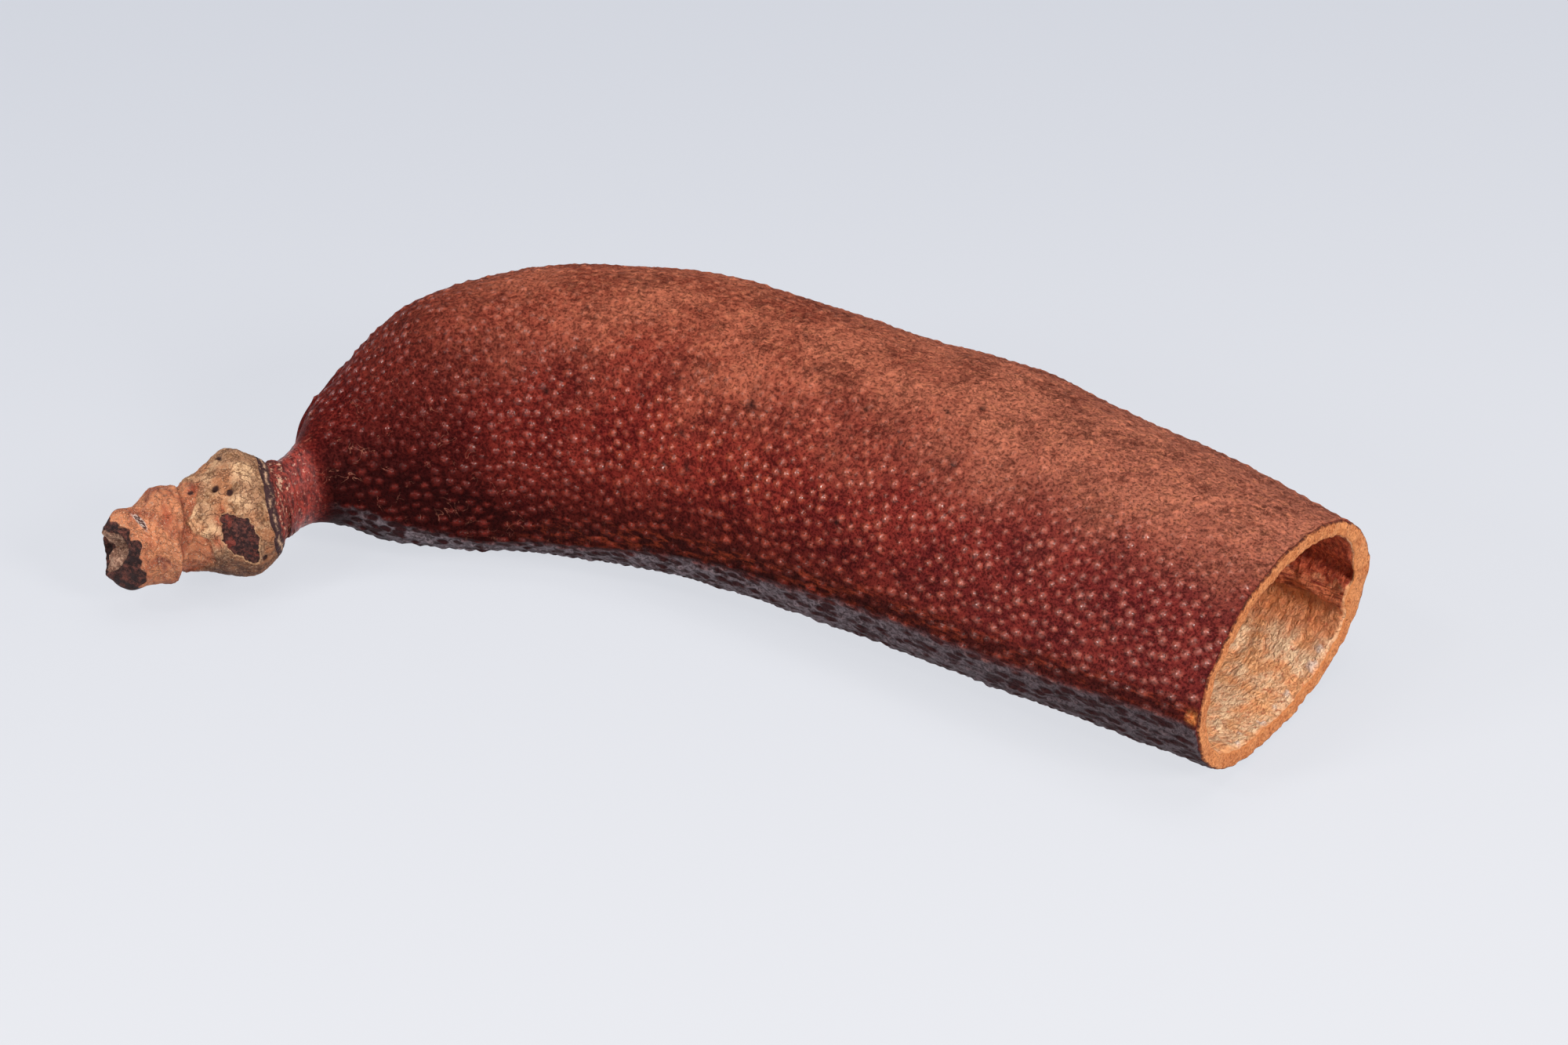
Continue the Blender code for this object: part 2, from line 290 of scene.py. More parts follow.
def measure_axis():
    """The axis as a fine polyline, with the distance along it."""
    points = np.asarray(AXIS)
    chord = lengths_along(points)
    fine = np.linspace(0, chord[-1], AXIS_SAMPLES)
    line = np.stack([smooth(chord, points[:, 0], fine), smooth(chord, points[:, 1], fine)], axis=1)
    return lengths_along(line), line


AXIS_ALONG, AXIS_LINE = measure_axis()
TURNS = np.arange(SIDES) / SIDES


def axis_point(distance):
    """Points of the axis at distances along it."""
    return np.stack([np.interp(distance, AXIS_ALONG, AXIS_LINE[:, k]) for k in range(2)], axis=-1)


def axis_ahead(distance):
    """Unit directions along the axis, towards the mouth."""
    before = np.maximum(distance - TANGENT_REACH, 0.0)
    after = np.minimum(distance + TANGENT_REACH, AXIS_ALONG[-1])
    step = axis_point(after) - axis_point(before)
    return step / np.linalg.norm(step, axis=-1, keepdims=True)


def ahead_in_space(distance):
    """The axis's directions as level vectors of three numbers."""
    return np.column_stack([axis_ahead(distance), np.zeros(len(distance))])


def station(distance):
    """The section's six sizes at a distance along the axis."""
    table = np.asarray(STATIONS)
    return [float(smooth(table[:, 0], table[:, k], distance)) for k in range(1, 7)]


def quarter(seam, apex, fullness, turns):
    """Points of one quarter of a section, evenly spread from its seam to its apex."""
    across, upright = fullness
    angle = np.linspace(0, math.pi / 2, QUARTER_SAMPLES)
    side = apex[0] + (seam[0] - apex[0]) * np.cos(angle) ** (2 / across)
    height = seam[1] + (apex[1] - seam[1]) * np.sin(angle) ** (2 / upright)
    length = lengths_along(np.column_stack([side, height]))
    reach = turns * length[-1]
    return np.stack([np.interp(reach, length, side), np.interp(reach, length, height)], axis=1)


def section(sizes, turns):
    """A closed section, as side and height, at the given turns: far seam 0, crown a quarter."""
    far, near, top, belly, far_height, near_height = sizes
    middle = (far - near) / 2
    far_seam = (far, far_height)
    near_seam = (-near, near_height)
    crown = (middle, top)
    keel = (middle, belly)
    fourth = np.floor(turns * 4).astype(int)
    part = turns * 4 - fourth
    loop = np.empty((len(turns), 2))
    plan = (
        (far_seam, crown, FULLNESS_FAR_TOP, False),
        (near_seam, crown, FULLNESS_NEAR_TOP, True),
        (near_seam, keel, FULLNESS_NEAR_BELLY, False),
        (far_seam, keel, FULLNESS_FAR_BELLY, True),
    )
    for index, (seam, apex, fullness, backwards) in enumerate(plan):
        chosen = fourth == index
        share = 1 - part[chosen] if backwards else part[chosen]
        loop[chosen] = quarter(seam, apex, fullness, share)
    return loop


def outward(loop, centre):
    """Unit directions from the section's centre to its points."""
    spokes = loop - centre
    return spokes / np.hypot(spokes[:, 0], spokes[:, 1])[:, None]


def middle_of(sizes):
    """The centre of a section of the given sizes."""
    return np.array([(sizes[0] - sizes[1]) / 2, (sizes[2] + sizes[3]) / 2])


def skin_loop(distance, turns=TURNS):
    """The skin's section, with the seeds' swellings and no pimples."""
    sizes = station(distance)
    loop = section(sizes, turns)
    height = sum(size * hill(distance, place, SWELLING_LENGTH) for place, size in SEED_SWELLINGS)
    facing = np.clip(np.cos(2 * math.pi * (turns - SWELLING_TURN)), 0, 1) ** SWELLING_SHARPNESS
    return loop + outward(loop, middle_of(sizes)) * (height * facing)[:, None]


def hollow_loop(distance, turns=TURNS):
    """The hollow's section, with its ridge, drawn in round at its closed end."""
    far, near, top, belly, far_height, near_height = station(distance)
    sizes = [far - WALL_FAR, near - WALL_NEAR_SEAM, top - WALL_TOP,
             max(belly, 0.0) + WALL_BELLY, far_height, near_height]
    loop = section(sizes, turns)
    centre = middle_of(sizes)
    inward = RIDGE_HEIGHT * turn_hill(turns, RIDGE_TURN, RIDGE_WIDTH)
    inward += FAR_SEAM_THICKENING * turn_hill(turns, 0.0, FAR_SEAM_WIDTH)
    inward += WALL_GROWTH * np.clip((POD_LENGTH - distance) / WALL_GROWTH_LENGTH, 0, 1)
    loop -= outward(loop, centre) * inward[:, None]
    closing = np.clip((HOLLOW_END + HOLLOW_ROUNDING - distance) / HOLLOW_ROUNDING, 0, 1)
    return centre + (loop - centre) * math.sqrt(max(1 - closing ** 2, 0.0))


def set_on_axis(distances, loops):
    """Sections of side and height, one for each distance, set on the axis in millimetres."""
    ahead = axis_ahead(distances)
    far_way = np.stack([-ahead[:, 1], ahead[:, 0]], axis=1)
    plan = axis_point(distances)[:, None, :] + loops[:, :, :1] * far_way[:, None, :]
    return np.concatenate([plan, loops[:, :, 1:]], axis=2)


class Wall:
    """A run of sections along the axis: its grid of points, and where each of them is."""

    def __init__(self, distances, loops):
        self.distances = distances
        self.grid = set_on_axis(distances, loops)
        self.points = self.grid.reshape(-1, 3)
        self.along = np.repeat(distances, SIDES)
        self.around = np.tile(TURNS, len(distances))
        self.straight = np.column_stack([self.along, loops.reshape(-1, 2)])
        around = (np.roll(self.grid, -1, axis=1) - np.roll(self.grid, 1, axis=1)) / 2
        normals = np.cross(around, np.gradient(self.grid, axis=0))
        self.normals = normals / np.maximum(np.linalg.norm(normals, axis=2, keepdims=True), 1e-9)

    def place(self, distance, turn):
        """The grid's point nearest to a distance and a turn."""
        ring = int(np.argmin(abs(self.distances - distance)))
        return self.grid[ring, int(turn * SIDES) % SIDES]

    def between(self, ring, side):
        """Points at places between the grid's rings and its sides."""
        low = ring.astype(int).clip(0, len(self.grid) - 2)
        left = side.astype(int) % SIDES
        up = (ring - low)[:, None]
        right = (side - np.floor(side))[:, None]
        after = (left + 1) % SIDES
        near_end = self.grid[low, left] * (1 - right) + self.grid[low, after] * right
        far_end = self.grid[low + 1, left] * (1 - right) + self.grid[low + 1, after] * right
        return near_end * (1 - up) + far_end * up

    def raised(self, height):
        """The points moved out along their normals."""
        return self.points + self.normals.reshape(-1, 3) * height[:, None]


def well_spaced(places, wanted):
    """The numbers of the wanted places that are not too close to an earlier one."""
    taken = {}
    kept = []
    for number in np.flatnonzero(wanted):
        point = places[number]
        box = tuple((point // PIMPLE_SPACING).astype(int))
        crowded = any(
            (point - other) @ (point - other) < PIMPLE_SPACING ** 2
            for x in (-1, 0, 1) for y in (-1, 0, 1) for z in (-1, 0, 1)
            for other in taken.get((box[0] + x, box[1] + y, box[2] + z), ())
        )
        if not crowded:
            taken.setdefault(box, []).append(point)
            kept.append(number)
    return np.array(kept)


def scatter_pimples(skin):
    """Scatters the pimples evenly but at random over the skin, with no two too close.

    Gives their centres, frames, radii, stretch along the pod and heights.
    """
    draw = np.random.default_rng(SEED)
    ring = draw.uniform(0, SKIN_RINGS - 1.001, PIMPLE_TRIES)
    side = draw.uniform(0, SIDES, PIMPLE_TRIES)
    centres = skin.between(ring, side)
    girth = np.linalg.norm(np.roll(skin.grid, -1, axis=1) - skin.grid, axis=2).sum(axis=1)
    ring = ring.astype(int)
    side = side.astype(int)
    share = girth[ring] / girth.max() * ease(skin.distances[ring], PIMPLES_START, PIMPLES_FULL)
    kept = well_spaced(centres, draw.random(PIMPLE_TRIES) < share)
    ring = ring[kept]
    side = side[kept]
    facing = skin.normals[ring, side]
    ahead = ahead_in_space(skin.distances[ring])
    ahead -= facing * (ahead * facing).sum(1, keepdims=True)
    ahead /= np.linalg.norm(ahead, axis=1, keepdims=True)
    turn = TURNS[side]
    near_seam = np.maximum(turn_hill(turn, 0.50, 0.06), 0.8 * turn_hill(turn, 0.60, 0.09))
    top = weathering(skin.distances[ring], turn)
    size = draw.random(len(kept))
    radius = PIMPLE_RADIUS[0] + (PIMPLE_RADIUS[1] - PIMPLE_RADIUS[0]) * size
    size = 0.5 * size + 0.5 * draw.random(len(kept))
    height = PIMPLE_HEIGHT[0] + (PIMPLE_HEIGHT[1] - PIMPLE_HEIGHT[0]) * size
    return {
        "centre": centres[kept],
        "ahead": ahead,
        "aside": np.cross(facing, ahead),
        "radius": radius * (1 - 0.2 * near_seam) * (1 + 0.1 * top),
        "stretch": 1 + (NEAR_SEAM_STRETCH - 1) * near_seam,
        "height": height * (1 - 0.35 * top) * (1 - 0.1 * near_seam),
    }


def nearest(centres, points):
    """For each point, the number of the nearest centre."""
    tree = kdtree.KDTree(len(centres))
    for number, centre in enumerate(centres):
        tree.insert(centre, number)
    tree.balance()
    return np.array([tree.find(point)[1] for point in points])


def pimple_offset(pimples, which, points):
    """Where points lie on their pimple's dome, along and across it, 1 at its foot; its height."""
    away = points - pimples["centre"][which]
    radius = pimples["radius"][which]
    along = (away * pimples["ahead"][which]).sum(-1) / (radius * pimples["stretch"][which])
    across = (away * pimples["aside"][which]).sum(-1) / radius
    return along, across, pimples["height"][which]


def weathering(distance, turn):
    """How far the skin is weathered matt and orange: 1 on top, 0 on the near side and below."""
    edge = 0.33 + 0.02 * ease(distance, 40, 80) - 0.02 * ease(distance, 110, 140)
    upper = 1 - ease(turn, edge - 0.09, edge + 0.06)
    return np.where(turn > 0.75, 1 - ease(1 - turn, 0.0, 0.08), upper) * ease(distance, 12, 48)


def dark_and_painted_shade(distance, turn):
    """Where the skin is darkened: darker oxblood and painted shade by the neck, and along the near side
    above its seam.
    """
    base = (1 - ease(distance, 10, 36)) * ease(distance, 4.5, 7)
    base *= ease(turn, 0.22, 0.44) * (1 - ease(turn, 0.85, 0.98))
    low = turn_hill(turn, 0.48, 0.04) * (1 - ease(distance, 60, 130)) * ease(distance, 6, 12)
    edge = turn_hill(turn, 0.497, 0.009) * ease(distance, 8, 16)
    return np.clip(base + 0.8 * low + 0.7 * edge, 0, 1)


def build_piece(name, points, sides, finishes, inside_out=False, face_finishes=None):
    """A smooth closed mesh from rings of points in millimetres and two more at its ends."""
    rings = len(points) // sides
    here = np.arange(sides)
    after = (here + 1) % sides
    index = np.arange(rings * sides).reshape(rings, sides)
    quads = np.stack([index[:-1], index[:-1][:, after], index[1:][:, after], index[1:]], axis=-1)
    quads = quads.reshape(-1, 4)
    if inside_out:
        quads = quads[:, ::-1]
        here, after = after, here
    tip = np.full(sides, rings * sides)
    tail = (rings - 1) * sides
    caps = np.concatenate([np.column_stack([after, here, tip]),
                           np.column_stack([tail + here, tail + after, tip + 1])])
    mesh = bpy.data.meshes.new(name)
    mesh.from_pydata((points * MM).tolist(), [], quads.tolist() + caps.tolist())
    mesh.update()
    for finish in finishes:
        mesh.materials.append(finish)
    if face_finishes is not None:
        mesh.polygons.foreach_set("material_index", face_finishes.astype(np.int32))
    mesh.shade_smooth()
    piece = bpy.data.objects.new(name, mesh)
    bpy.context.scene.collection.objects.link(piece)
    return piece, quads


def store(mesh, values_by_name, before=0, domain="POINT"):
    """Keeps numbers or vectors on the mesh for its material to read; 0 outside their run."""
    for name, values in values_by_name.items():
        kind, key = ("FLOAT", "value") if values.ndim == 1 else ("FLOAT_VECTOR", "vector")
        slot = mesh.attributes.new(name, kind, domain)
        whole = np.zeros((len(slot.data),) + values.shape[1:], np.float32)
        whole[before:before + len(values)] = values
        slot.data.foreach_set(key, whole.ravel())


def edge_circle(turns):
    """Places round the cut edge, for noise that runs round it."""
    angle = 2 * math.pi * turns
    return np.column_stack([20 * np.cos(angle), 20 * np.sin(angle), np.zeros(len(angle))])


def lip_scallops(turns):
    """How far the inner lip wanders outwards, round the cut."""
    return 0.36 * rough(edge_circle(turns), 1.9, 9, 2)


def wart_marks(skin):
    """How far each of the skin's points is on a wart or a pit, and their heights."""
    marks = np.zeros(len(skin.points))
    height = np.zeros(len(skin.points))
    for place, turn, radius, rise in WARTS:
        spread = hill(np.linalg.norm(skin.points - skin.place(place, turn), axis=1), 0, radius)
        marks = np.maximum(marks, spread)
        height += rise * spread
    return marks, height


def dress_skin(skin, pimples):
    """The skin's points with their relief, and what its material reads."""
    flat, along, around = skin.points, skin.along, skin.around
    off_along, off_across, height = pimple_offset(pimples, nearest(pimples["centre"], flat), flat)
    dome = np.clip(1 - off_along ** 2 - off_across ** 2, 0, 1) ** 1.4 * height
    full = ease(along, PIMPLES_START, PIMPLES_FULL)
    lumps = 0.30 * rough(flat, 13.0, 1) * full + 0.10 * rough(flat, 4.5, 2) * full
    leather = 0.09 * rough(flat, 2.2, 3) * full
    neck = 1 - ease(along + 1.1 * rough(flat, 2.6, 14, 2), 2.8, 5.8)
    fibres = 0.16 * neck * rough(skin.straight, 0.9, 4, 1, (1.0, 0.3, 0.3))
    seam = 0.5 * turn_hill(around, 0.03, 0.014) * ease(along, 3, 8) * (1 - ease(along, 22, 32))
    seam -= 0.35 * turn_hill(around, 0.065, 0.02) * ease(along, 3, 8) * (1 - ease(along, 22, 30))
    ridge = NEAR_CREST_HEIGHT * np.exp(-abs(around - 0.5) / NEAR_CREST_WIDTH) * ease(along, 10, 24)
    warts, wart_height = wart_marks(skin)
    chip = turn_hill(around, 0.497, 0.006) * ease(along, POD_LENGTH - 1.9, POD_LENGTH - 1.0)
    chip *= ease(rough(flat, 0.8, 5), -0.5, 0.1)
    points = skin.raised(
        dome * (1 - chip) + lumps + leather + fibres + seam + ridge + wart_height - 0.3 * chip)
    points[:, 2] = np.maximum(points[:, 2], 0.0)
    below = around + 0.006 * rough(flat, 3.0, 43, 2)
    return points, {
        "weathered": weathering(along + 3 * rough(flat, 14.0, 12),
                                around + 0.035 * rough(flat, 9.0, 13, 2)),
        # darker oxblood mixed with painted shade
        "dark_and_shaded": dark_and_painted_shade(along, around),
        "neck": neck,
        # where the painted reflection of the floor goes, below the near seam
        "underside": ease(below, 0.500, 0.514) * (1 - ease(around, 0.92, 1.0)) * ease(along, 5, 14),
        "seam_band": turn_hill(around, 0.490, 0.010) * ease(along, 20, 50),
        "base_end": 1 - ease(along, 8, 78),
        "far_along": ease(along, 60, 140),
        "wart": warts,
        "chip": chip,
    }


def make_rim():
    """The cut wall's face, from the skin to the hollow, with scallops and burrs."""
    outer = skin_loop(POD_LENGTH)
    inner = hollow_loop(POD_LENGTH)
    spokes = outward(outer, outer.mean(axis=0))
    scallop = lip_scallops(TURNS)
    burr = 0.30 * rough(edge_circle(TURNS), 1.5, 42, 2) * (0.35 + turn_hill(TURNS, 0.82, 0.13))
    loops = []
    for _, share in CUT_RIM:
        shift = scallop * share ** 6 + burr * (1 - share) ** 8
        loops.append(outer * (1 - share) + inner * share + spokes * shift[:, None])
    return Wall(np.array([POD_LENGTH - back for back, _ in CUT_RIM]), np.array(loops))


def make_hollow():
    """The hollow's wall without its relief: fine rings near the cut, and coarser ones behind."""
    fine = np.arange(INNER_START, INNER_FINE_REACH, INNER_FINE_STEP)
    depth = np.sin(0.5 * math.pi * np.linspace(0, 1, INNER_COARSE_RINGS + 1)[:-1])
    coarse = INNER_FINE_REACH + (POD_LENGTH - HOLLOW_END - INNER_FINE_REACH) * depth
    distances = POD_LENGTH - np.concatenate([fine, coarse])
    return Wall(distances, np.array([hollow_loop(distance) for distance in distances]))


def dress_hollow(hollow):
    """The hollow's points with their relief, and what its material reads."""
    along, around, straight = hollow.along, hollow.around, hollow.straight
    wrinkles = 0.20 * (1 - 2 * abs(rough(straight, 1.8, 6, 2, (1.0, 0.45, 0.45))))
    wrinkles += 0.22 * rough(hollow.points, 6.0, 7)
    torn = turn_hill(around, RIDGE_TURN, RIDGE_WIDTH)
    cleft = turn_hill(around, 0.0, 0.016)
    scallops = -lip_scallops(around) * (1 - ease(POD_LENGTH - along, 0.6, 3.2))
    resin = np.zeros(len(along))
    for back, turn, radius in RESIN_DROPS:
        away = np.linalg.norm(hollow.points - hollow.place(POD_LENGTH - back, turn), axis=1)
        resin = np.maximum(resin, np.sqrt(np.clip(1 - (away / radius) ** 2, 0, 1)) * radius)
    inward = wrinkles * (1 - cleft) + torn * (1.1 * rough(straight, 1.5, 8, 3, (0.4, 1.0, 1.0)))
    inward += scallops - 0.9 * cleft + 0.55 * resin
    points = hollow.raised(inward * ease(along, HOLLOW_END + 2, HOLLOW_END + 20))
    # where the hollow is dark red-brown by the far seam and under the top wall, partly painted shade
    dark_roof_and_shade = 1.4 * turn_hill(around, 0.06, 0.075) + turn_hill(around, 0.18, 0.07)
    return points, {
        "back": POD_LENGTH - along,
        "dark_roof_and_shade": np.clip(dark_roof_and_shade, 0, 1),
        "tanned": turn_hill(around, 0.925, 0.05),
        "torn": torn,
        "resin": ease(resin, 0.02, 0.2),
    }


def roughen_cut(points, walls):
    """Moves the points near the cut to and fro along the axis, with grains on the rim."""
    along = np.concatenate([wall.along for wall in walls])
    around = np.concatenate([wall.around for wall in walls])
    ragged = 0.26 * rough(edge_circle(around), 2.4, 10, 2) * ease(along, POD_LENGTH - 3.0, POD_LENGTH)
    skin, rim, hollow = (len(wall.points) for wall in walls)
    on_rim = np.repeat([0, 1, 0], [skin, rim, hollow])
    grains = 0.10 * rough(points, 0.55, 11) * on_rim * ease(along, POD_LENGTH - 0.3, POD_LENGTH)
    return points + ahead_in_space(along) * (ragged + grains)[:, None]


def make_pod():
    """The pod: pimpled skin, cut rim and wrinkled hollow, in one closed mesh."""
    distances = np.linspace(0, POD_LENGTH - CUT_RIM[0][0] - 0.1, SKIN_RINGS)
    skin = Wall(distances, np.array([skin_loop(distance) for distance in distances]))
    rim = make_rim()
    hollow = make_hollow()
    walls = (skin, rim, hollow)
    pimples = scatter_pimples(skin)
    skin_points, skin_marks = dress_skin(skin, pimples)
    hollow_points, hollow_marks = dress_hollow(hollow)
    points = roughen_cut(np.concatenate([skin_points, rim.points, hollow_points]), walls)
    neck_centre = skin.grid[0].mean(axis=0)
    apex = set_on_axis(np.array([HOLLOW_END]), hollow_loop(HOLLOW_END, TURNS[:1])[None])[0, 0]
    rim_rings = len(CUT_RIM)
    hollow_rings = len(hollow.distances)
    face_finishes = np.repeat([0, 1, 2, 0, 2], SIDES * np.array(
        [SKIN_RINGS, rim_rings - 1, hollow_rings, 1, 1]))
    pod, quads = build_piece("pod", np.concatenate([points, [neck_centre, apex]]), SIDES,
                             [skin_finish(), rim_finish(), hollow_finish()], False, face_finishes)

    mesh = pod.data
    rim_start = len(skin.points)
    rim_share = np.repeat([share for _, share in CUT_RIM], SIDES)
    store(mesh, skin_marks)
    store(mesh, {"wall_share": np.concatenate([rim_share, np.ones(len(hollow.points))])}, rim_start)
    store(mesh, hollow_marks, rim_start + len(rim.points))
    store(mesh, {"straight": np.concatenate([wall.straight for wall in walls])})
    skin_quads = quads[:(SKIN_RINGS - 1) * SIDES]
    owner = np.repeat(nearest(pimples["centre"], skin.points[skin_quads].mean(axis=1)), 4)
    spot = np.tile(NO_PIMPLE, (len(mesh.loops), 1))
    spot[:len(owner)] = np.column_stack(pimple_offset(pimples, owner, skin.points[skin_quads.ravel()]))
    store(mesh, {"pimple": spot}, 0, "CORNER")
    return pod


def neck_radius(distance, angles):
    """The neck's radius about the stalk's axis, at angles from the far side upwards."""
    loop = skin_loop(distance)
    side = loop[:, 0]
    rise = loop[:, 1] - STALK_START[2]
    angle = np.arctan2(rise, side) % (2 * math.pi)
    order = np.argsort(angle)
    return np.interp(angles, angle[order], np.hypot(side, rise)[order], period=2 * math.pi)


def stalk_points(distance, angle, radius):
    """Points of the stalk, in millimetres: the angle starts at the far side and turns up."""
    ahead = np.array([math.cos(STALK_HEADING), math.sin(STALK_HEADING)])
    aside = np.array([ahead[1], -ahead[0]])
    plan = np.array(STALK_START[:2]) + ahead * (distance + STALK_GAP)[:, None]
    plan = plan + aside * (radius * np.cos(angle))[:, None]
    height = STALK_START[2] - STALK_DROP * distance / STALK_LENGTH + radius * np.sin(angle)
    return np.column_stack([plan, height])


def degrees_from(angle, turn):
    """How far angles are from a turn, in degrees either way."""
    return (np.degrees(angle) - turn + 180) % 360 - 180


def around_stalk(distance, angle, place, turn, spread, width):
    """A bell on the stalk's surface at a distance and an angle in degrees."""
    return np.exp(-((distance - place) / spread) ** 2 - (degrees_from(angle, turn) / width) ** 2)


def cover(distance, angle, table):
    """How far places are on one of a table's marks: 1 in its middle."""
    return np.max([around_stalk(distance, angle, *row[:4]) for row in table], axis=0)


def relief(distance, angle, table):
    """The height of a table's marks, which its last column gives."""
    return sum(row[4] * around_stalk(distance, angle, *row[:4]) for row in table)


def stalk_radius(distance, angle):
    """The stalk's radius, with its knobs and hollows."""
    places, radii = zip(*STALK_PROFILE)
    radius = smooth(places, radii, np.clip(distance, 0, STALK_LENGTH))
    return radius + relief(distance, angle, STALK_KNOBS)


def stalk_rings(angles):
    """Distances and radii of the stalk's rings: the collar's, the body's and the end's."""
    root = neck_radius(0.0, angles)
    inside = neck_radius(COLLAR_REACH, angles) + COLLAR_CLEARANCE
    outside = inside + COLLAR_THICKNESS
    rings = [
        (0.02, root * 0.5), (0.02, root), (-0.45 * COLLAR_REACH, inside), (-COLLAR_REACH, inside + 0.1),
        (-COLLAR_REACH, inside + 0.55 * COLLAR_THICKNESS), (-0.55 * COLLAR_REACH, outside), (0.0, outside),
    ]
    for distance in np.linspace(0.5, STALK_LENGTH, STALK_RINGS):
        blend = ease(distance, -0.4, 1.4)
        rings.append((distance, stalk_radius(distance, angles) * blend + outside * (1 - blend)))
    last = stalk_radius(STALK_LENGTH, angles)
    for index in range(1, END_RINGS + 1):
        rings.append((STALK_LENGTH, last * (1 - index / (END_RINGS + 1))))
    return rings, last.mean()


def patch_mask(distance, angle, straight):
    """The large dark patch on the knob's near side, where its bark has come off."""
    beyond = distance - PATCH_PLACE
    ragged = 0.36 * rough(straight, 2.2, 33, 3) + 0.42 * rough(straight, 0.9, 38, 2)
    leaning = (degrees_from(angle, PATCH_TURN) + 5 * beyond) / PATCH_WIDTH
    return 1 - ease(abs(beyond / PATCH_LENGTH) ** 3 + abs(leaning) ** 3 + ragged, 0.88, 1.04)


def bark_relief(distance, angle, straight):
    """The bark's height on the cork and on the joint, and the painted shadow lines along its steps."""
    degrees = np.degrees(angle)
    wander = 0.45 * rough(straight, 2.6, 21, 2, (0.15, 1.0, 1.0))
    cork_edge = np.interp(degrees, *zip(*CORK_EDGE)) + wander
    scale_edge = np.interp(degrees, *zip(*SCALE_EDGE)) + 0.6 * wander
    cork = 1 - ease(distance, cork_edge - 0.12, cork_edge + 0.12)
    step = ease(distance, scale_edge - 0.12, scale_edge + 0.12)
    scale_step = 0.50 * step * (1 - ease(distance, scale_edge + 0.6, scale_edge + 3.4))
    scale_step -= 0.12 * (1 - cork) * (1 - step)
    fold = 16.4 + 0.6 * wander + 0.5 * np.cos(angle)
    scale_step += 0.22 * hill(distance, fold, 0.45)
    # Painted shadow lines just before the scale's step and below its fold.
    scale_shadow_line = hill(distance, scale_edge - 0.15, 0.22) + 0.6 * hill(distance, fold - 0.55, 0.20)
    scale_shadow_line *= (1 - cork) * ease(distance, 8.0, 10.0)
    ridged = 1 - 2 * abs(rough(straight, 2.6, 23, 3))
    bark = 0.25 * cork * ease(distance, cork_edge - 2.4, cork_edge - 0.3)
    bark += cork * (0.20 * ridged + 0.10 * rough(straight, 0.9, 24, 2))
    bark += (1 - cork) * (0.10 * rough(straight, 1.6, 25, 2, (0.35, 1.0, 1.0))
                          + 0.06 * rough(straight, 0.7, 26))
    return bark, scale_step, cork, scale_shadow_line


def broken_end(straight, distance, angle, radius, end_share, mean_radius):
    """How far the end's slant, ragged lips, crater and lobes move its points, and the marks."""
    on_end = end_share > 0
    across = radius * np.cos(angle)
    upright = radius * np.sin(angle)
    crater = ease(end_share, 0.10, 0.30)
    rise = across * math.cos(LOBES_LINE) + upright * math.sin(LOBES_LINE)
    over = upright * math.cos(LOBES_LINE) - across * math.sin(LOBES_LINE)
    lobes = 0
    for way, width in ((-1, 2.8), (1, 2.6)):
        off_lobe = abs(rise + way * LOBE_OFFSET) / 1.6
        lobes = lobes + LOBE_HEIGHT * np.exp(-off_lobe ** 2.4 - (abs(over) / width) ** 2.4)
    broken = 0.40 * rough(straight, 1.3, 30, 3)
    lift = 0.3 * ease(end_share, 0, 0.10) - 1.3 * crater + lobes * crater + broken * ease(end_share, 0, 0.2)
    slant = END_SLANT * (radius / mean_radius) * np.cos(angle - END_FACES) + END_SLANT
    lift = on_end * lift - slant * ease(distance, END_SLANT_START, STALK_LENGTH)
    off_low = degrees_from(angle, LOW_LIP_TURN)
    lips = LOW_LIP * hill(off_low, 0, 42) + HIGH_LIP * hill(degrees_from(angle, HIGH_LIP_TURN), 0, 28)
    lift += lips * ease(distance, LIPS_START, STALK_LENGTH) * (1 - 0.6 * ease(end_share, 0.05, 0.5))
    lift += (0.45 * rough(straight, 2.2, 31, 2, (0.0, 1.0, 1.0))
             * ease(distance, STALK_LENGTH - 2.2, STALK_LENGTH))
    burnt_from = STALK_LENGTH - 1.0 - 1.6 * hill(off_low, 0, 60) + 0.7 * rough(straight, 1.8, 32, 3)
    return lift, {
        "dark_end": np.maximum(on_end, ease(distance, burnt_from, burnt_from + 0.7)),
        "lobes": on_end * lobes * crater / 1.6,
    }


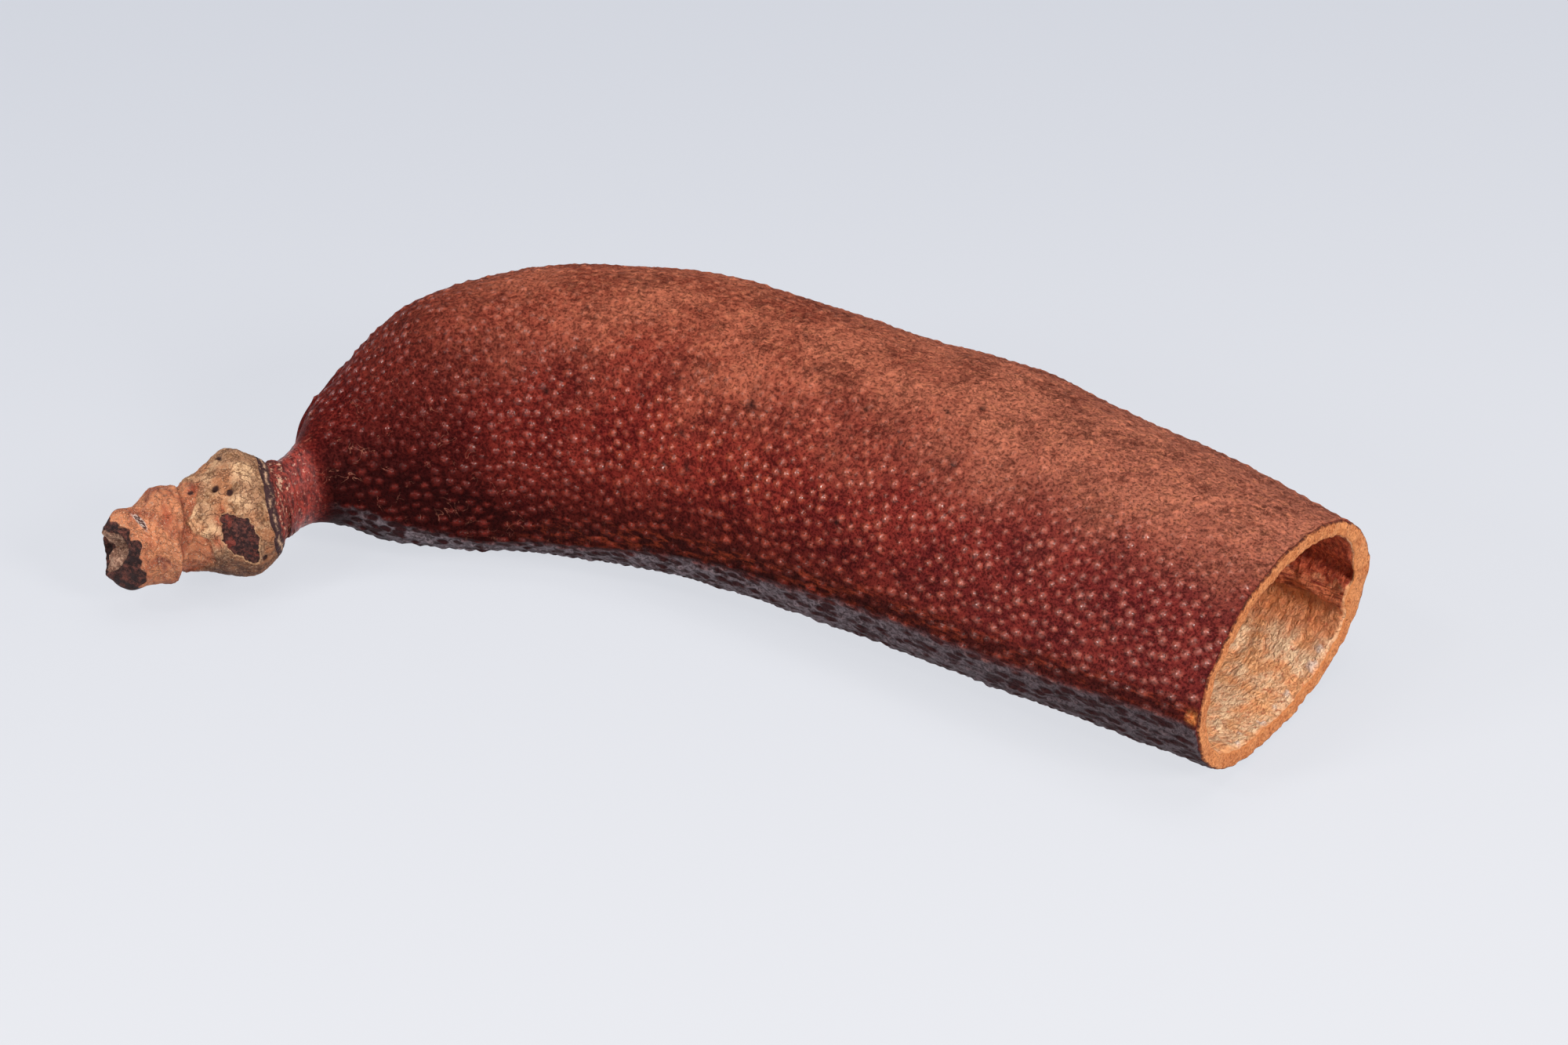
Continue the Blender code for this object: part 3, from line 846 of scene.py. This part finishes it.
def make_stalk():
    """The stalk: collar, corky knob, overlapping orange joint and dark broken end."""
    angles = 2 * math.pi * np.arange(STALK_SIDES) / STALK_SIDES
    rings, mean_radius = stalk_rings(angles)
    distance = np.repeat([place for place, _ in rings], STALK_SIDES)
    angle = np.tile(angles, len(rings))
    radius = np.concatenate([ring for _, ring in rings])
    number = np.repeat(np.arange(len(rings)), STALK_SIDES)
    straight = np.column_stack([distance, radius * np.cos(angle), radius * np.sin(angle)])
    body_start = len(rings) - STALK_RINGS - END_RINGS
    end_share = np.clip((number - body_start - STALK_RINGS + 1) / (END_RINGS + 1), 0, 1)
    on_body = (number >= body_start) & (end_share == 0)

    bark, scale_step, cork, scale_shadow_line = bark_relief(distance, angle, straight)
    patch = patch_mask(distance, angle, straight)
    ring_mark = around_stalk(distance, angle, *RING_MARK)
    band_edge = BAND_EDGE + BAND_EDGE_FORWARD * np.clip(np.cos(angle - BAND_FORWARD), 0, 1)
    band_edge += 0.35 * rough(straight, 1.8, 27, 2)
    collar = (1 - ease(distance, band_edge - 0.12, band_edge + 0.12)) * (end_share == 0)
    band_start = band_edge - BAND_WIDTH
    lift = bark * (1 - 0.4 * collar) + scale_step - relief(distance, angle, CORK_PITS)
    lift += relief(distance, angle, STALK_FILL) - 0.28 * patch - 0.25 * ring_mark
    collar_relief = collar * 0.20 * rough(straight, 1.1, 28, 2) * ease(number, 3, 6)
    radius = radius + on_body * lift + collar_relief
    inset = 0.35 * rough(straight, 1.4, 29, 2) * hill(distance, -COLLAR_REACH, 0.5) * (number > 2)
    end_lift, end_marks = broken_end(straight, distance, angle, radius, end_share, mean_radius)

    points = stalk_points(distance + inset + end_lift, angle, radius)
    start_centre = stalk_points(np.array([0.02]), np.zeros(1), np.zeros(1))
    end_centre = points[-STALK_SIDES:].mean(axis=0)
    stalk, _ = build_piece("woody_stalk", np.concatenate([points, start_centre, [end_centre]]),
                           STALK_SIDES, [stalk_finish()], True)
    store(stalk.data, end_marks)
    store(stalk.data, {
        "straight": straight,
        "tilt": 0.5 + 0.5 * np.sin(angle),
        "cork": cork,
        "pits": cover(distance, angle, CORK_PITS),
        "patch": patch,
        "red_spots": cover(distance, angle, RED_SPOTS) * on_body,
        "scale_shadow_line": np.clip(scale_shadow_line, 0, 1) * on_body,
        "ring_mark": ring_mark * on_body,
        "collar": collar,
        "before_band": (1 - ease(distance, band_start - 0.2, band_start + 0.2)) * collar,
        "band_seam": hill(distance, band_edge - 0.55 * BAND_WIDTH, 0.20) * collar,
    })
    return stalk


def srgb(red, green, blue):
    """A colour given as it is seen on a screen, 0 to 255, as a linear one."""
    def linear(value):
        value /= 255
        return value / 12.92 if value <= 0.04045 else ((value + 0.055) / 1.055) ** 2.4
    return (linear(red), linear(green), linear(blue), 1.0)


class Finish:
    """A material being put together, with short calls for the nodes that the finishes share.

    Where a call takes a value, it may be a number, another node's output or the name of one
    of the mesh's attributes. A colour of three numbers is as seen on a screen.
    """

    def __init__(self, name, specular):
        self.material = bpy.data.materials.new(name)
        self.material.use_nodes = True
        self.tree = self.material.node_tree
        self.shader = self.tree.nodes["Principled BSDF"]
        self.shader.inputs["Metallic"].default_value = 0.0
        self.shader.inputs["Specular IOR Level"].default_value = specular
        self.colour = None

    def node(self, kind, **settings):
        item = self.tree.nodes.new(kind)
        for key, value in settings.items():
            setattr(item, key, value)
        return item

    def feed(self, socket, value):
        if isinstance(value, str):
            value = self.attribute(value)
        if isinstance(value, bpy.types.NodeSocket):
            self.tree.links.new(value, socket)
        elif isinstance(value, tuple) and len(value) == 3:
            socket.default_value = srgb(*value)
        else:
            socket.default_value = value

    def attribute(self, name, output="Fac"):
        return self.node("ShaderNodeAttribute", attribute_name=name).outputs[output]

    def parts_of(self, vector):
        """The three numbers of a vector."""
        item = self.node("ShaderNodeSeparateXYZ")
        self.feed(item.inputs[0], vector)
        return item.outputs

    def place_by(self, item, size, stretch):
        """Scales a pattern's lumps to size millimetres, on the object or straightened.

        A stretch scales the straightened coordinates along the axis and across it.
        """
        if stretch is None:
            item.inputs["Scale"].default_value = 1 / (size * MM)
            vector = self.node("ShaderNodeTexCoord").outputs["Object"]
        else:
            item.inputs["Scale"].default_value = 1 / size
            along, across = stretch
            scaler = self.node("ShaderNodeMapping")
            scaler.inputs["Scale"].default_value = (along, across, across)
            self.feed(scaler.inputs["Vector"], self.attribute("straight", "Vector"))
            vector = scaler.outputs["Vector"]
        self.feed(item.inputs["Vector"], vector)

    def noise(self, size, detail=3, roughness=0.55, distortion=0.0, stretch=None):
        """Noise from 0 to 1 with lumps about size millimetres apart."""
        item = self.node("ShaderNodeTexNoise")
        item.inputs["Detail"].default_value = detail
        item.inputs["Roughness"].default_value = roughness
        item.inputs["Distortion"].default_value = distortion
        self.place_by(item, size, stretch)
        return item.outputs["Fac"]

    def cells(self, size, stretch):
        """Distance to the nearest of scattered points about size millimetres apart."""
        item = self.node("ShaderNodeTexVoronoi", feature="F1")
        self.place_by(item, size, stretch)
        return item.outputs["Distance"]

    def math(self, operation, first, second=0.0):
        item = self.node("ShaderNodeMath", operation=operation)
        self.feed(item.inputs[0], first)
        self.feed(item.inputs[1], second)
        return item.outputs[0]

    def times(self, first, second):
        return self.math("MULTIPLY", first, second)

    def plus(self, first, second):
        return self.math("ADD", first, second)

    def off_middle(self, value):
        """How far a noise is from its middle, which draws thin lines."""
        return self.math("ABSOLUTE", self.math("SUBTRACT", value, 0.5))

    def ramp(self, value, low, high, start=0.0, stop=1.0):
        """Maps low..high smoothly onto start..stop."""
        item = self.node("ShaderNodeMapRange", interpolation_type="SMOOTHSTEP")
        self.feed(item.inputs["Value"], value)
        item.inputs["From Min"].default_value = low
        item.inputs["From Max"].default_value = high
        item.inputs["To Min"].default_value = start
        item.inputs["To Max"].default_value = stop
        return item.outputs["Result"]

    def spots(self, look, low, high, start=0.0, stop=1.0):
        """A ramp of a noise, whose size, detail and so on are given together."""
        return self.ramp(self.noise(*look), low, high, start, stop)

    def mix(self, share, first, second):
        item = self.node("ShaderNodeMix", data_type="RGBA")
        self.feed(item.inputs["Factor"], share)
        self.feed(item.inputs["A"], first)
        self.feed(item.inputs["B"], second)
        return item.outputs["Result"]

    def paint(self, share, colour, strength=None):
        """Lays a colour over the finish's own, by a share and a strength."""
        if strength is not None:
            share = self.times(share, strength)
        self.colour = self.mix(share, self.colour, colour)

    def blend(self, share, first, second):
        item = self.node("ShaderNodeMix", data_type="FLOAT")
        self.feed(item.inputs[0], share)
        self.feed(item.inputs[2], first)
        self.feed(item.inputs[3], second)
        return item.outputs[0]

    def bump(self, height, distance, strength=1.0, normal=None):
        """Relief from a height of 0 to 1 that stands distance millimetres high."""
        item = self.node("ShaderNodeBump")
        item.inputs["Strength"].default_value = strength
        item.inputs["Distance"].default_value = distance * MM
        self.feed(item.inputs["Height"], height)
        if normal is not None:
            self.feed(item.inputs["Normal"], normal)
        return item.outputs["Normal"]

    def dress(self, roughness, normal):
        self.feed(self.shader.inputs["Base Color"], self.colour)
        self.feed(self.shader.inputs["Roughness"], roughness)
        self.feed(self.shader.inputs["Normal"], normal)
        return self.material


def skin_colour(f, tip, mottle, grain, crumbs, specks, wrinkle, dimples):
    """Lays the skin's colours over one another, from its ground to the chip at the cut."""
    side = f.mix(f.spots((7, 4), 0.35, 0.65), (84, 17, 15), (116, 36, 28))
    side = f.mix(f.ramp(mottle, 0.54, 0.68, 0.0, 0.35), side, (146, 52, 40))
    side = f.mix(f.ramp(mottle, 0.46, 0.34, 0.0, 0.60), side, (54, 7, 8))
    side = f.mix(f.times("base_end", 0.60), side, (62, 8, 8))
    side = f.mix(f.times("far_along", 0.55), side, (78, 26, 28))
    brown = f.mix(f.spots((9, 5, 0.6), 0.36, 0.64), (124, 58, 43), (156, 86, 65))
    brown = f.mix(f.times("far_along", 0.55), brown, (156, 98, 80))
    brown = f.mix(f.ramp(mottle, 0.52, 0.66, 0.0, 0.45), brown, (178, 108, 78))
    brown = f.mix(f.ramp(mottle, 0.48, 0.36, 0.0, 0.55), brown, (100, 42, 30))
    f.colour = f.mix("weathered", side, brown)
    spot = f.mix("base_end", f.mix("far_along", (158, 68, 42), (152, 78, 64)), (122, 38, 28))
    share = f.times(f.blend("weathered", 1.0, 0.90), f.blend("base_end", 1.0, 0.80))
    f.paint(tip, f.mix("weathered", spot, (182, 106, 80)), share)
    f.paint(f.ramp(grain, 0.53, 0.66), f.mix("weathered", (150, 60, 46), (196, 116, 84)), 0.34)
    f.paint(specks, f.mix("weathered", (44, 6, 7), (72, 27, 19)), f.blend("weathered", 0.50, 0.42))
    f.paint(crumbs, (70, 28, 20))
    f.paint(f.spots((5, 5, 0.70), 0.54, 0.72), (92, 44, 34), f.times("weathered", 0.45))
    # Painted shade mixed with the skin's darker oxblood, by the neck and along the near side above its
    # seam.
    dark_and_shade_colour = f.mix(tip, (30, 2, 2), f.mix("base_end", (112, 30, 20), (84, 20, 14)))
    f.paint("dark_and_shaded", dark_and_shade_colour, 0.94)
    scratch = f.times(f.ramp(f.off_middle(f.noise(3.4, 3, 0.6, 0.8)), 0.010, 0.0),
                      f.spots((2.6, 2, 0.5), 0.50, 0.60, 0.0, 0.35))
    f.paint(scratch, (176, 112, 92), "base_end")
    # Dark and brown-red streaks just above the near seam, partly the skin's streaks and partly painted
    # shade.
    streaked = f.mix(f.spots((0.6, 4, 0.65, 0.0, (0.20, 1.0)), 0.46, 0.66), (40, 8, 6), (124, 48, 28))
    f.paint("seam_band", streaked, 0.60)
    neck_colour = f.mix(f.ramp(wrinkle, 0.36, 0.64), (74, 15, 15), (160, 60, 48))
    flecks = f.times(f.spots((0.5, 3, 0.6), 0.58, 0.68), 0.60)
    f.paint("neck", f.mix(flecks, neck_colour, (216, 160, 138)))
    # Painted reflection of the pale floor below the near seam: grey, and darker on the dimples that face
    # up.
    floor_reflection_grey = f.mix(f.spots((0.8, 4, 0.7), 0.38, 0.62), (76, 64, 67), (114, 102, 107))
    floor_reflection_grey = f.mix(f.times("far_along", 0.60), floor_reflection_grey, (68, 56, 59))
    f.paint("underside", f.mix(dimples, floor_reflection_grey, (46, 22, 24)), 0.94)
    f.paint("wart", (40, 24, 22), 0.85)
    f.paint("chip", f.mix(f.spots((0.5,), 0.4, 0.6), (198, 104, 52), (224, 140, 80)))


def skin_finish():
    """Oxblood with glossy pimples and painted shade on the sides, dull orange-brown on top, and a painted
    grey reflection of the floor underneath.
    """
    f = Finish("pimpled_skin", 0.04)
    f.shader.inputs["Coat Roughness"].default_value = 0.22
    along, across, height = f.parts_of(f.attribute("pimple", "Vector"))
    reach = f.math("SQRT", f.plus(f.times(along, along), f.times(across, across)))
    crest = f.math("COSINE", f.ramp(reach, 0.0, 1.0, 0.0, 0.5 * math.pi))
    dome = f.times(crest, crest)
    tall = f.ramp(height, 0.08, 0.32)
    wobble = f.spots((0.6, 3, 0.6), 0.3, 0.7, -0.20, 0.20)
    tip = f.math("POWER", f.ramp(f.plus(reach, wobble), 1.30, 0.10), 1.3)
    tip = f.times(tip, f.blend(tall, 0.30, 1.0))
    tip = f.times(tip, f.spots((3.2, 3, 0.6), 0.36, 0.62, 0.65, 1.0))
    polish = f.times(f.ramp(reach, 0.85, 0.35), f.blend(tall, 0.30, 1.0))
    mottle = f.noise(1.5, 4, 0.65)
    grain = f.noise(0.40, 5, 0.75)
    specks = f.ramp(grain, 0.48, 0.37)
    crumbs = f.times(f.spots((0.85, 4, 0.70), 0.50, 0.55), f.spots((5, 5, 0.70), 0.42, 0.60))
    crumbs = f.times(crumbs, f.blend("weathered", 0.12, 0.54))
    wrinkle = f.noise(0.42, 5, 0.7, 0.0, (1.0, 0.25))
    dimples = f.ramp(f.cells(1.4, (0.50, 1.15)), 0.56, 0.34)
    skin_colour(f, tip, mottle, grain, crumbs, specks, wrinkle, dimples)

    roughness = f.plus(f.blend("weathered", 0.50, 0.80), f.spots((1.4,), 0.3, 0.7, -0.06, 0.06))
    roughness = f.blend("chip", roughness, 0.85)
    coat = f.times(polish, f.blend("weathered", 1.0, 0.18))
    coat = f.math("MAXIMUM", coat, f.times("neck", 0.6))
    coat = f.times(coat, f.blend("underside", 1.0, 0.10))
    f.feed(f.shader.inputs["Coat Weight"], f.times(coat, f.blend("dark_and_shaded", 1.0, 0.15)))

    bumps = f.bump(f.times(dome, height), 1.35)
    bumps = f.bump(f.noise(1.6, 3, 0.5), 0.16, 0.8, bumps)
    bumps = f.bump(f.times(mottle, "weathered"), 0.40, 0.9, bumps)
    folded = f.bump(f.times(wrinkle, "neck"), 0.24, 0.9, bumps)
    uneven = f.times(f.noise(0.9, 4, 0.6), f.blend(polish, 1.0, 0.15))
    f.feed(f.shader.inputs["Coat Normal"], f.bump(uneven, 0.30, 0.9, folded))
    level = f.blend(polish, 1.0, 0.3)
    normal = f.bump(f.times(f.noise(0.8, 4, 0.6), level), 0.20, 0.8, folded)
    normal = f.bump(f.times(grain, level), 0.10, 0.9, normal)
    dents = f.plus(crumbs, f.times(specks, 0.3))
    dents = f.plus(dents, f.times(f.times(dimples, "underside"), 1.5))
    normal = f.bump(f.times(dents, -1.0), 0.18, 0.9, normal)
    return f.dress(roughness, normal)


def rim_finish():
    """The cut wall: granular orange-tan wood behind a thin dark skin."""
    f = Finish("cut_wall", 0.15)
    grain = f.noise(0.40, 4, 0.7)
    wood = f.mix(f.ramp(grain, 0.36, 0.62), (154, 76, 36), (236, 158, 102))
    warm = f.mix(f.spots((2.2, 4, 0.6), 0.4, 0.62), (180, 102, 54), (218, 146, 92))
    f.colour = f.mix(0.45, wood, warm)
    f.paint(f.spots((0.34, 3, 0.6), 0.60, 0.66), (104, 52, 30), 0.85)
    edge = f.plus("wall_share", f.spots((0.7, 4, 0.7), 0.3, 0.7, -0.07, 0.07))
    f.paint(f.ramp(edge, 0.14, 0.03, 0.0, 0.85), (100, 42, 26))
    f.paint(f.ramp(edge, 0.03, -0.01, 0.0, 0.85), (60, 26, 20))
    f.paint(f.ramp(edge, 0.88, 1.0), (214, 136, 84))
    normal = f.bump(grain, 0.45)
    normal = f.bump(f.noise(0.18, 2), 0.08, 0.8, normal)
    return f.dress(0.72, normal)


def hollow_finish():
    """The hollow's wall: pale and wrinkled, with painted shade in its folds and creases; tan, and then dark
    red-brown by the torn ridge and under the top wall, partly its colour and partly painted shade.
    """
    f = Finish("hollow_wall", 0.25)
    folds = f.noise(1.0, 4, 0.55, 0.3, (1.0, 0.45))
    ripples = f.noise(0.75, 4, 0.6, 0.2, (1.0, 0.7))
    creases = f.ramp(f.off_middle(folds), 0.0, 0.035)
    fine_creases = f.ramp(f.off_middle(ripples), 0.0, 0.05)
    pale = f.mix(f.spots((3.6, 4), 0.36, 0.62), (252, 186, 130), (255, 220, 178))
    tanned = f.plus("tanned", f.spots((2.4, 4), 0.3, 0.7, -0.14, 0.14))
    f.colour = f.mix(f.ramp(tanned, 0.12, 0.80, 0.0, 0.80), pale, (206, 118, 66))
    # Painted shade: darker orange in the folds' troughs and along the creases.
    f.paint(f.ramp(folds, 0.50, 0.36, 0.0, 0.50), (236, 146, 94))
    f.paint(f.ramp(creases, 1.0, 0.0, 0.0, 0.30), (220, 122, 80))
    f.paint(f.ramp(fine_creases, 1.0, 0.0, 0.0, 0.24), (214, 122, 86))
    f.paint(f.spots((0.8, 4, 0.7), 0.54, 0.66), (204, 100, 64), f.ramp("back", 12.0, 2.0, 0.25, 0.65))
    # Dark red-brown by the far seam and under the top wall: partly its colour, partly painted shade.
    edge = f.plus("dark_roof_and_shade", f.spots((2.4, 4), 0.3, 0.7, -0.16, 0.16))
    dark = f.mix(f.spots((0.7, 4, 0.7), 0.36, 0.66), (138, 46, 28), (206, 100, 66))
    f.paint(f.ramp(edge, 0.18, 0.42), dark)
    fibre = f.noise(0.5, 5, 0.7, 0.0, (0.16, 1.0))
    tear = f.mix(f.ramp(fibre, 0.38, 0.62), (128, 42, 26), (232, 132, 88))
    f.paint(f.ramp("torn", 0.45, 0.85), tear)
    # Near-white on the resin drops: partly their pale colour, partly painted highlight.
    f.paint("resin", (250, 226, 210), 0.85)
    f.paint(f.ramp("back", 0.8, 0.3), (210, 134, 84), 0.4)
    normal = f.bump(folds, 0.95)
    normal = f.bump(creases, 0.08, 0.8, normal)
    normal = f.bump(fine_creases, 0.08, 0.8, normal)
    normal = f.bump(ripples, 0.55, 1.0, normal)
    normal = f.bump(f.times(fibre, "torn"), 0.6, 1.0, normal)
    return f.dress(f.blend("resin", f.spots((1.2,), 0.35, 0.65, 0.42, 0.62), 0.10), normal)


def cork_colour(f, grime):
    """The knob's cream cork: painted shade where it faces down, with a blush of orange."""
    cream = f.mix(f.spots((4, 4), 0.38, 0.60), (200, 160, 122), (156, 114, 84))
    cream = f.mix(f.ramp(grime, 0.48, 0.62), cream, (122, 86, 58))
    # Painted shade on the cork where it faces down, streaked darker brown.
    painted_shade_below = f.mix(f.spots((0.8, 4, 0.7, 0.0, (0.3, 1.0)), 0.40, 0.60), (122, 80, 56), (78, 48, 36))
    cream = f.mix(f.ramp("tilt", 0.22, 0.78), painted_shade_below, cream)
    return f.mix(f.times(f.spots((5.5, 4), 0.50, 0.62), 0.60), cream, (168, 104, 66))


def joint_colour(f):
    """The older joint's dull orange, with pale scratches."""
    orange = f.mix(f.spots((2.4, 5, 0.6), 0.36, 0.64), (192, 122, 84), (150, 78, 52))
    orange = f.mix(f.spots((3.4, 4), 0.54, 0.66), orange, (126, 66, 50))
    return f.mix(f.spots((0.34, 3, 0.7), 0.56, 0.68, 0.0, 0.55), orange, (226, 184, 158))


def collar_colour(f):
    """The dark band round the neck: crusted, flaking before it, and with a pale seam."""
    collar = f.mix(f.spots((1, 5, 0.7), 0.60, 0.68), (58, 34, 36), (190, 146, 112))
    flakes = f.times(f.spots((0.9, 5, 0.7), 0.54, 0.62), 0.8)
    red = f.mix(f.spots((0.5, 4, 0.7), 0.38, 0.62), (70, 22, 22), (150, 62, 50))
    collar = f.mix("before_band", collar, f.mix(flakes, red, (214, 170, 142)))
    band_seam = f.times("band_seam", f.spots((1.1, 4, 0.7), 0.42, 0.54))
    return f.mix(f.times(band_seam, 0.85), collar, (206, 164, 134))


def stalk_finish():
    """Cream cork with a dark patch, a dull orange joint, and dark scars at both ends."""
    f = Finish("cork_and_bark", 0.25)
    grime = f.noise(1.5, 5, 0.7)
    f.colour = f.mix("cork", joint_colour(f), cork_colour(f, grime))
    f.paint("red_spots", (158, 72, 44), 0.8)
    f.paint(f.spots((0.34, 5, 0.8), 0.52, 0.62), (96, 56, 38), 0.62)
    f.paint(f.spots((0.30, 4, 0.8), 0.55, 0.66), (232, 200, 166), 0.45)
    furrow = f.ramp(f.off_middle(f.noise(1.9, 4, 0.6, 0.3)), 0.03, 0.0)
    f.paint(furrow, (104, 62, 42), f.blend("cork", 0.25, 0.60))
    # Painted shadow along the edges of the joint's overlapping scale and its fold.
    f.paint("scale_shadow_line", (108, 48, 34), f.spots((1.6, 3, 0.6), 0.36, 0.56, 0.25, 0.85))
    purple = f.mix(f.spots((0.6, 4, 0.7), 0.42, 0.66), (38, 16, 17), (100, 54, 46))
    purple = f.mix(f.spots((1.7, 3, 0.6), 0.55, 0.64, 0.0, 0.6), purple, (124, 48, 36))
    f.paint(f.ramp("patch", 0.35, 0.65), purple)
    f.paint(f.times(f.ramp("patch", 0.05, 0.35), f.ramp("patch", 0.95, 0.6)), (196, 150, 112), 0.7)
    f.paint(f.ramp("pits", 0.25, 0.65), (52, 26, 22))
    f.paint(f.ramp("collar", 0.3, 0.6), collar_colour(f))
    ring = f.mix(f.spots((0.5, 3), 0.46, 0.54), (78, 50, 46), (188, 168, 158))
    f.paint(f.ramp("ring_mark", 0.15, 0.6), ring)
    burnt = f.mix(f.spots((0.8, 4, 0.7), 0.42, 0.66), (34, 16, 16), (92, 50, 42))
    lobe = f.mix(f.spots((0.6, 4, 0.7), 0.4, 0.62), (104, 70, 56), (172, 134, 112))
    f.paint(f.ramp("dark_end", 0.35, 0.75), f.mix(f.ramp("lobes", 0.25, 0.7), burnt, lobe))
    normal = f.bump(grime, 0.45)
    normal = f.bump(f.noise(0.34, 4, 0.7), 0.20, 1.0, normal)
    normal = f.bump(f.times(furrow, -1.0), 0.15, 0.9, normal)
    return f.dress(f.spots((0.9,), 0.3, 0.7, 0.62, 0.88), normal)


def aim(item, target):
    """Turns a camera or a light to face a target."""
    way = Vector(target) - item.location
    item.rotation_euler = way.to_track_quat("-Z", "Y").to_euler()


def add_softbox(name, place, size, power, colour):
    """A rectangular soft light that faces the pod."""
    data = bpy.data.lights.new(name, "AREA")
    data.shape = "RECTANGLE"
    data.size = size[0]
    data.size_y = size[1]
    data.energy = power
    data.color = colour
    lamp = bpy.data.objects.new(name, data)
    lamp.location = place
    aim(lamp, (0.0, 0.0, 0.015))
    bpy.context.scene.collection.objects.link(lamp)


def make_camera():
    """The camera at the photograph's place, looking down on the pod."""
    data = bpy.data.cameras.new("camera")
    data.lens = CAMERA_LENS
    data.sensor_width = CAMERA_SENSOR
    data.sensor_fit = "HORIZONTAL"
    data.clip_start = 0.01
    camera = bpy.data.objects.new("camera", data)
    camera.location = Vector(CAMERA_PLACE) * MM
    aim(camera, Vector(CAMERA_TARGET) * MM)
    bpy.context.scene.collection.objects.link(camera)
    bpy.context.scene.camera = camera


FLOOR_SIZE = 8.0
FLOOR_DROP = 0.00005
FLOOR_GLOW = 1.0


def make_floor():
    """A pale light table, which also glows a little so that shadows stay faint."""
    bpy.ops.mesh.primitive_plane_add(size=FLOOR_SIZE, location=(0, 0, -FLOOR_DROP))
    floor = bpy.context.object
    floor.name = "floor"
    f = Finish("pale_table", 0.1)
    f.shader.inputs["Base Color"].default_value = (0.07, 0.07, 0.074, 1)
    f.shader.inputs["Roughness"].default_value = 0.9
    f.shader.inputs["Emission Strength"].default_value = FLOOR_GLOW
    # Painted light: the glow grows brighter towards the front and the right.
    rightward, away, _ = f.parts_of(f.node("ShaderNodeTexCoord").outputs["Object"])
    slope = f.math("SUBTRACT", f.times(rightward, 0.6), away)
    glow = f.mix(f.ramp(slope, -0.30, 0.22), (0.53, 0.555, 0.615, 1), (0.72, 0.73, 0.765, 1))
    f.feed(f.shader.inputs["Emission Color"], glow)
    floor.data.materials.append(f.material)


# The soft lights: name, place and size in metres, power in watts, colour.
SOFTBOXES = (
    ("key", (-0.62, -0.88, 0.54), (0.24, 0.2), 8.2, (1, 0.98, 0.95)),
    ("mouth_side", (1.05, -0.34, 0.66), (0.34, 0.34), 16.5, (1, 0.96, 0.92)),
    ("overhead", (0.05, 0.1, 1.3), (0.9, 0.8), 8.5, (1, 0.99, 0.98)),
    ("glint", (-0.42, -0.66, 1.02), (0.24, 0.2), 4.5, (1, 0.99, 0.98)),
)


def light_scene():
    """The softboxes, and a pale sky that is brighter overhead."""
    for box in SOFTBOXES:
        add_softbox(*box)
    world = bpy.data.worlds.new("studio")
    world.use_nodes = True
    tree = world.node_tree
    background = tree.nodes["Background"]
    coordinates = tree.nodes.new("ShaderNodeTexCoord")
    split = tree.nodes.new("ShaderNodeSeparateXYZ")
    tree.links.new(coordinates.outputs["Generated"], split.inputs[0])
    rise = tree.nodes.new("ShaderNodeMapRange")
    rise.inputs["From Min"].default_value = 0.0
    rise.inputs["From Max"].default_value = 0.9
    rise.inputs["To Min"].default_value = 0.10
    rise.inputs["To Max"].default_value = 0.35
    tree.links.new(split.outputs[2], rise.inputs["Value"])
    tree.links.new(rise.outputs["Result"], background.inputs["Strength"])
    background.inputs["Color"].default_value = (0.90, 0.95, 1.0, 1)
    bpy.context.scene.world = world
    bpy.context.scene.view_settings.view_transform = "Standard"


make_camera()
pod = make_pod()
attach(pod, "root")
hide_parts("pod_shell")
stalk = make_stalk()
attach(stalk, "root")
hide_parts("stalk")
make_floor()
light_scene()
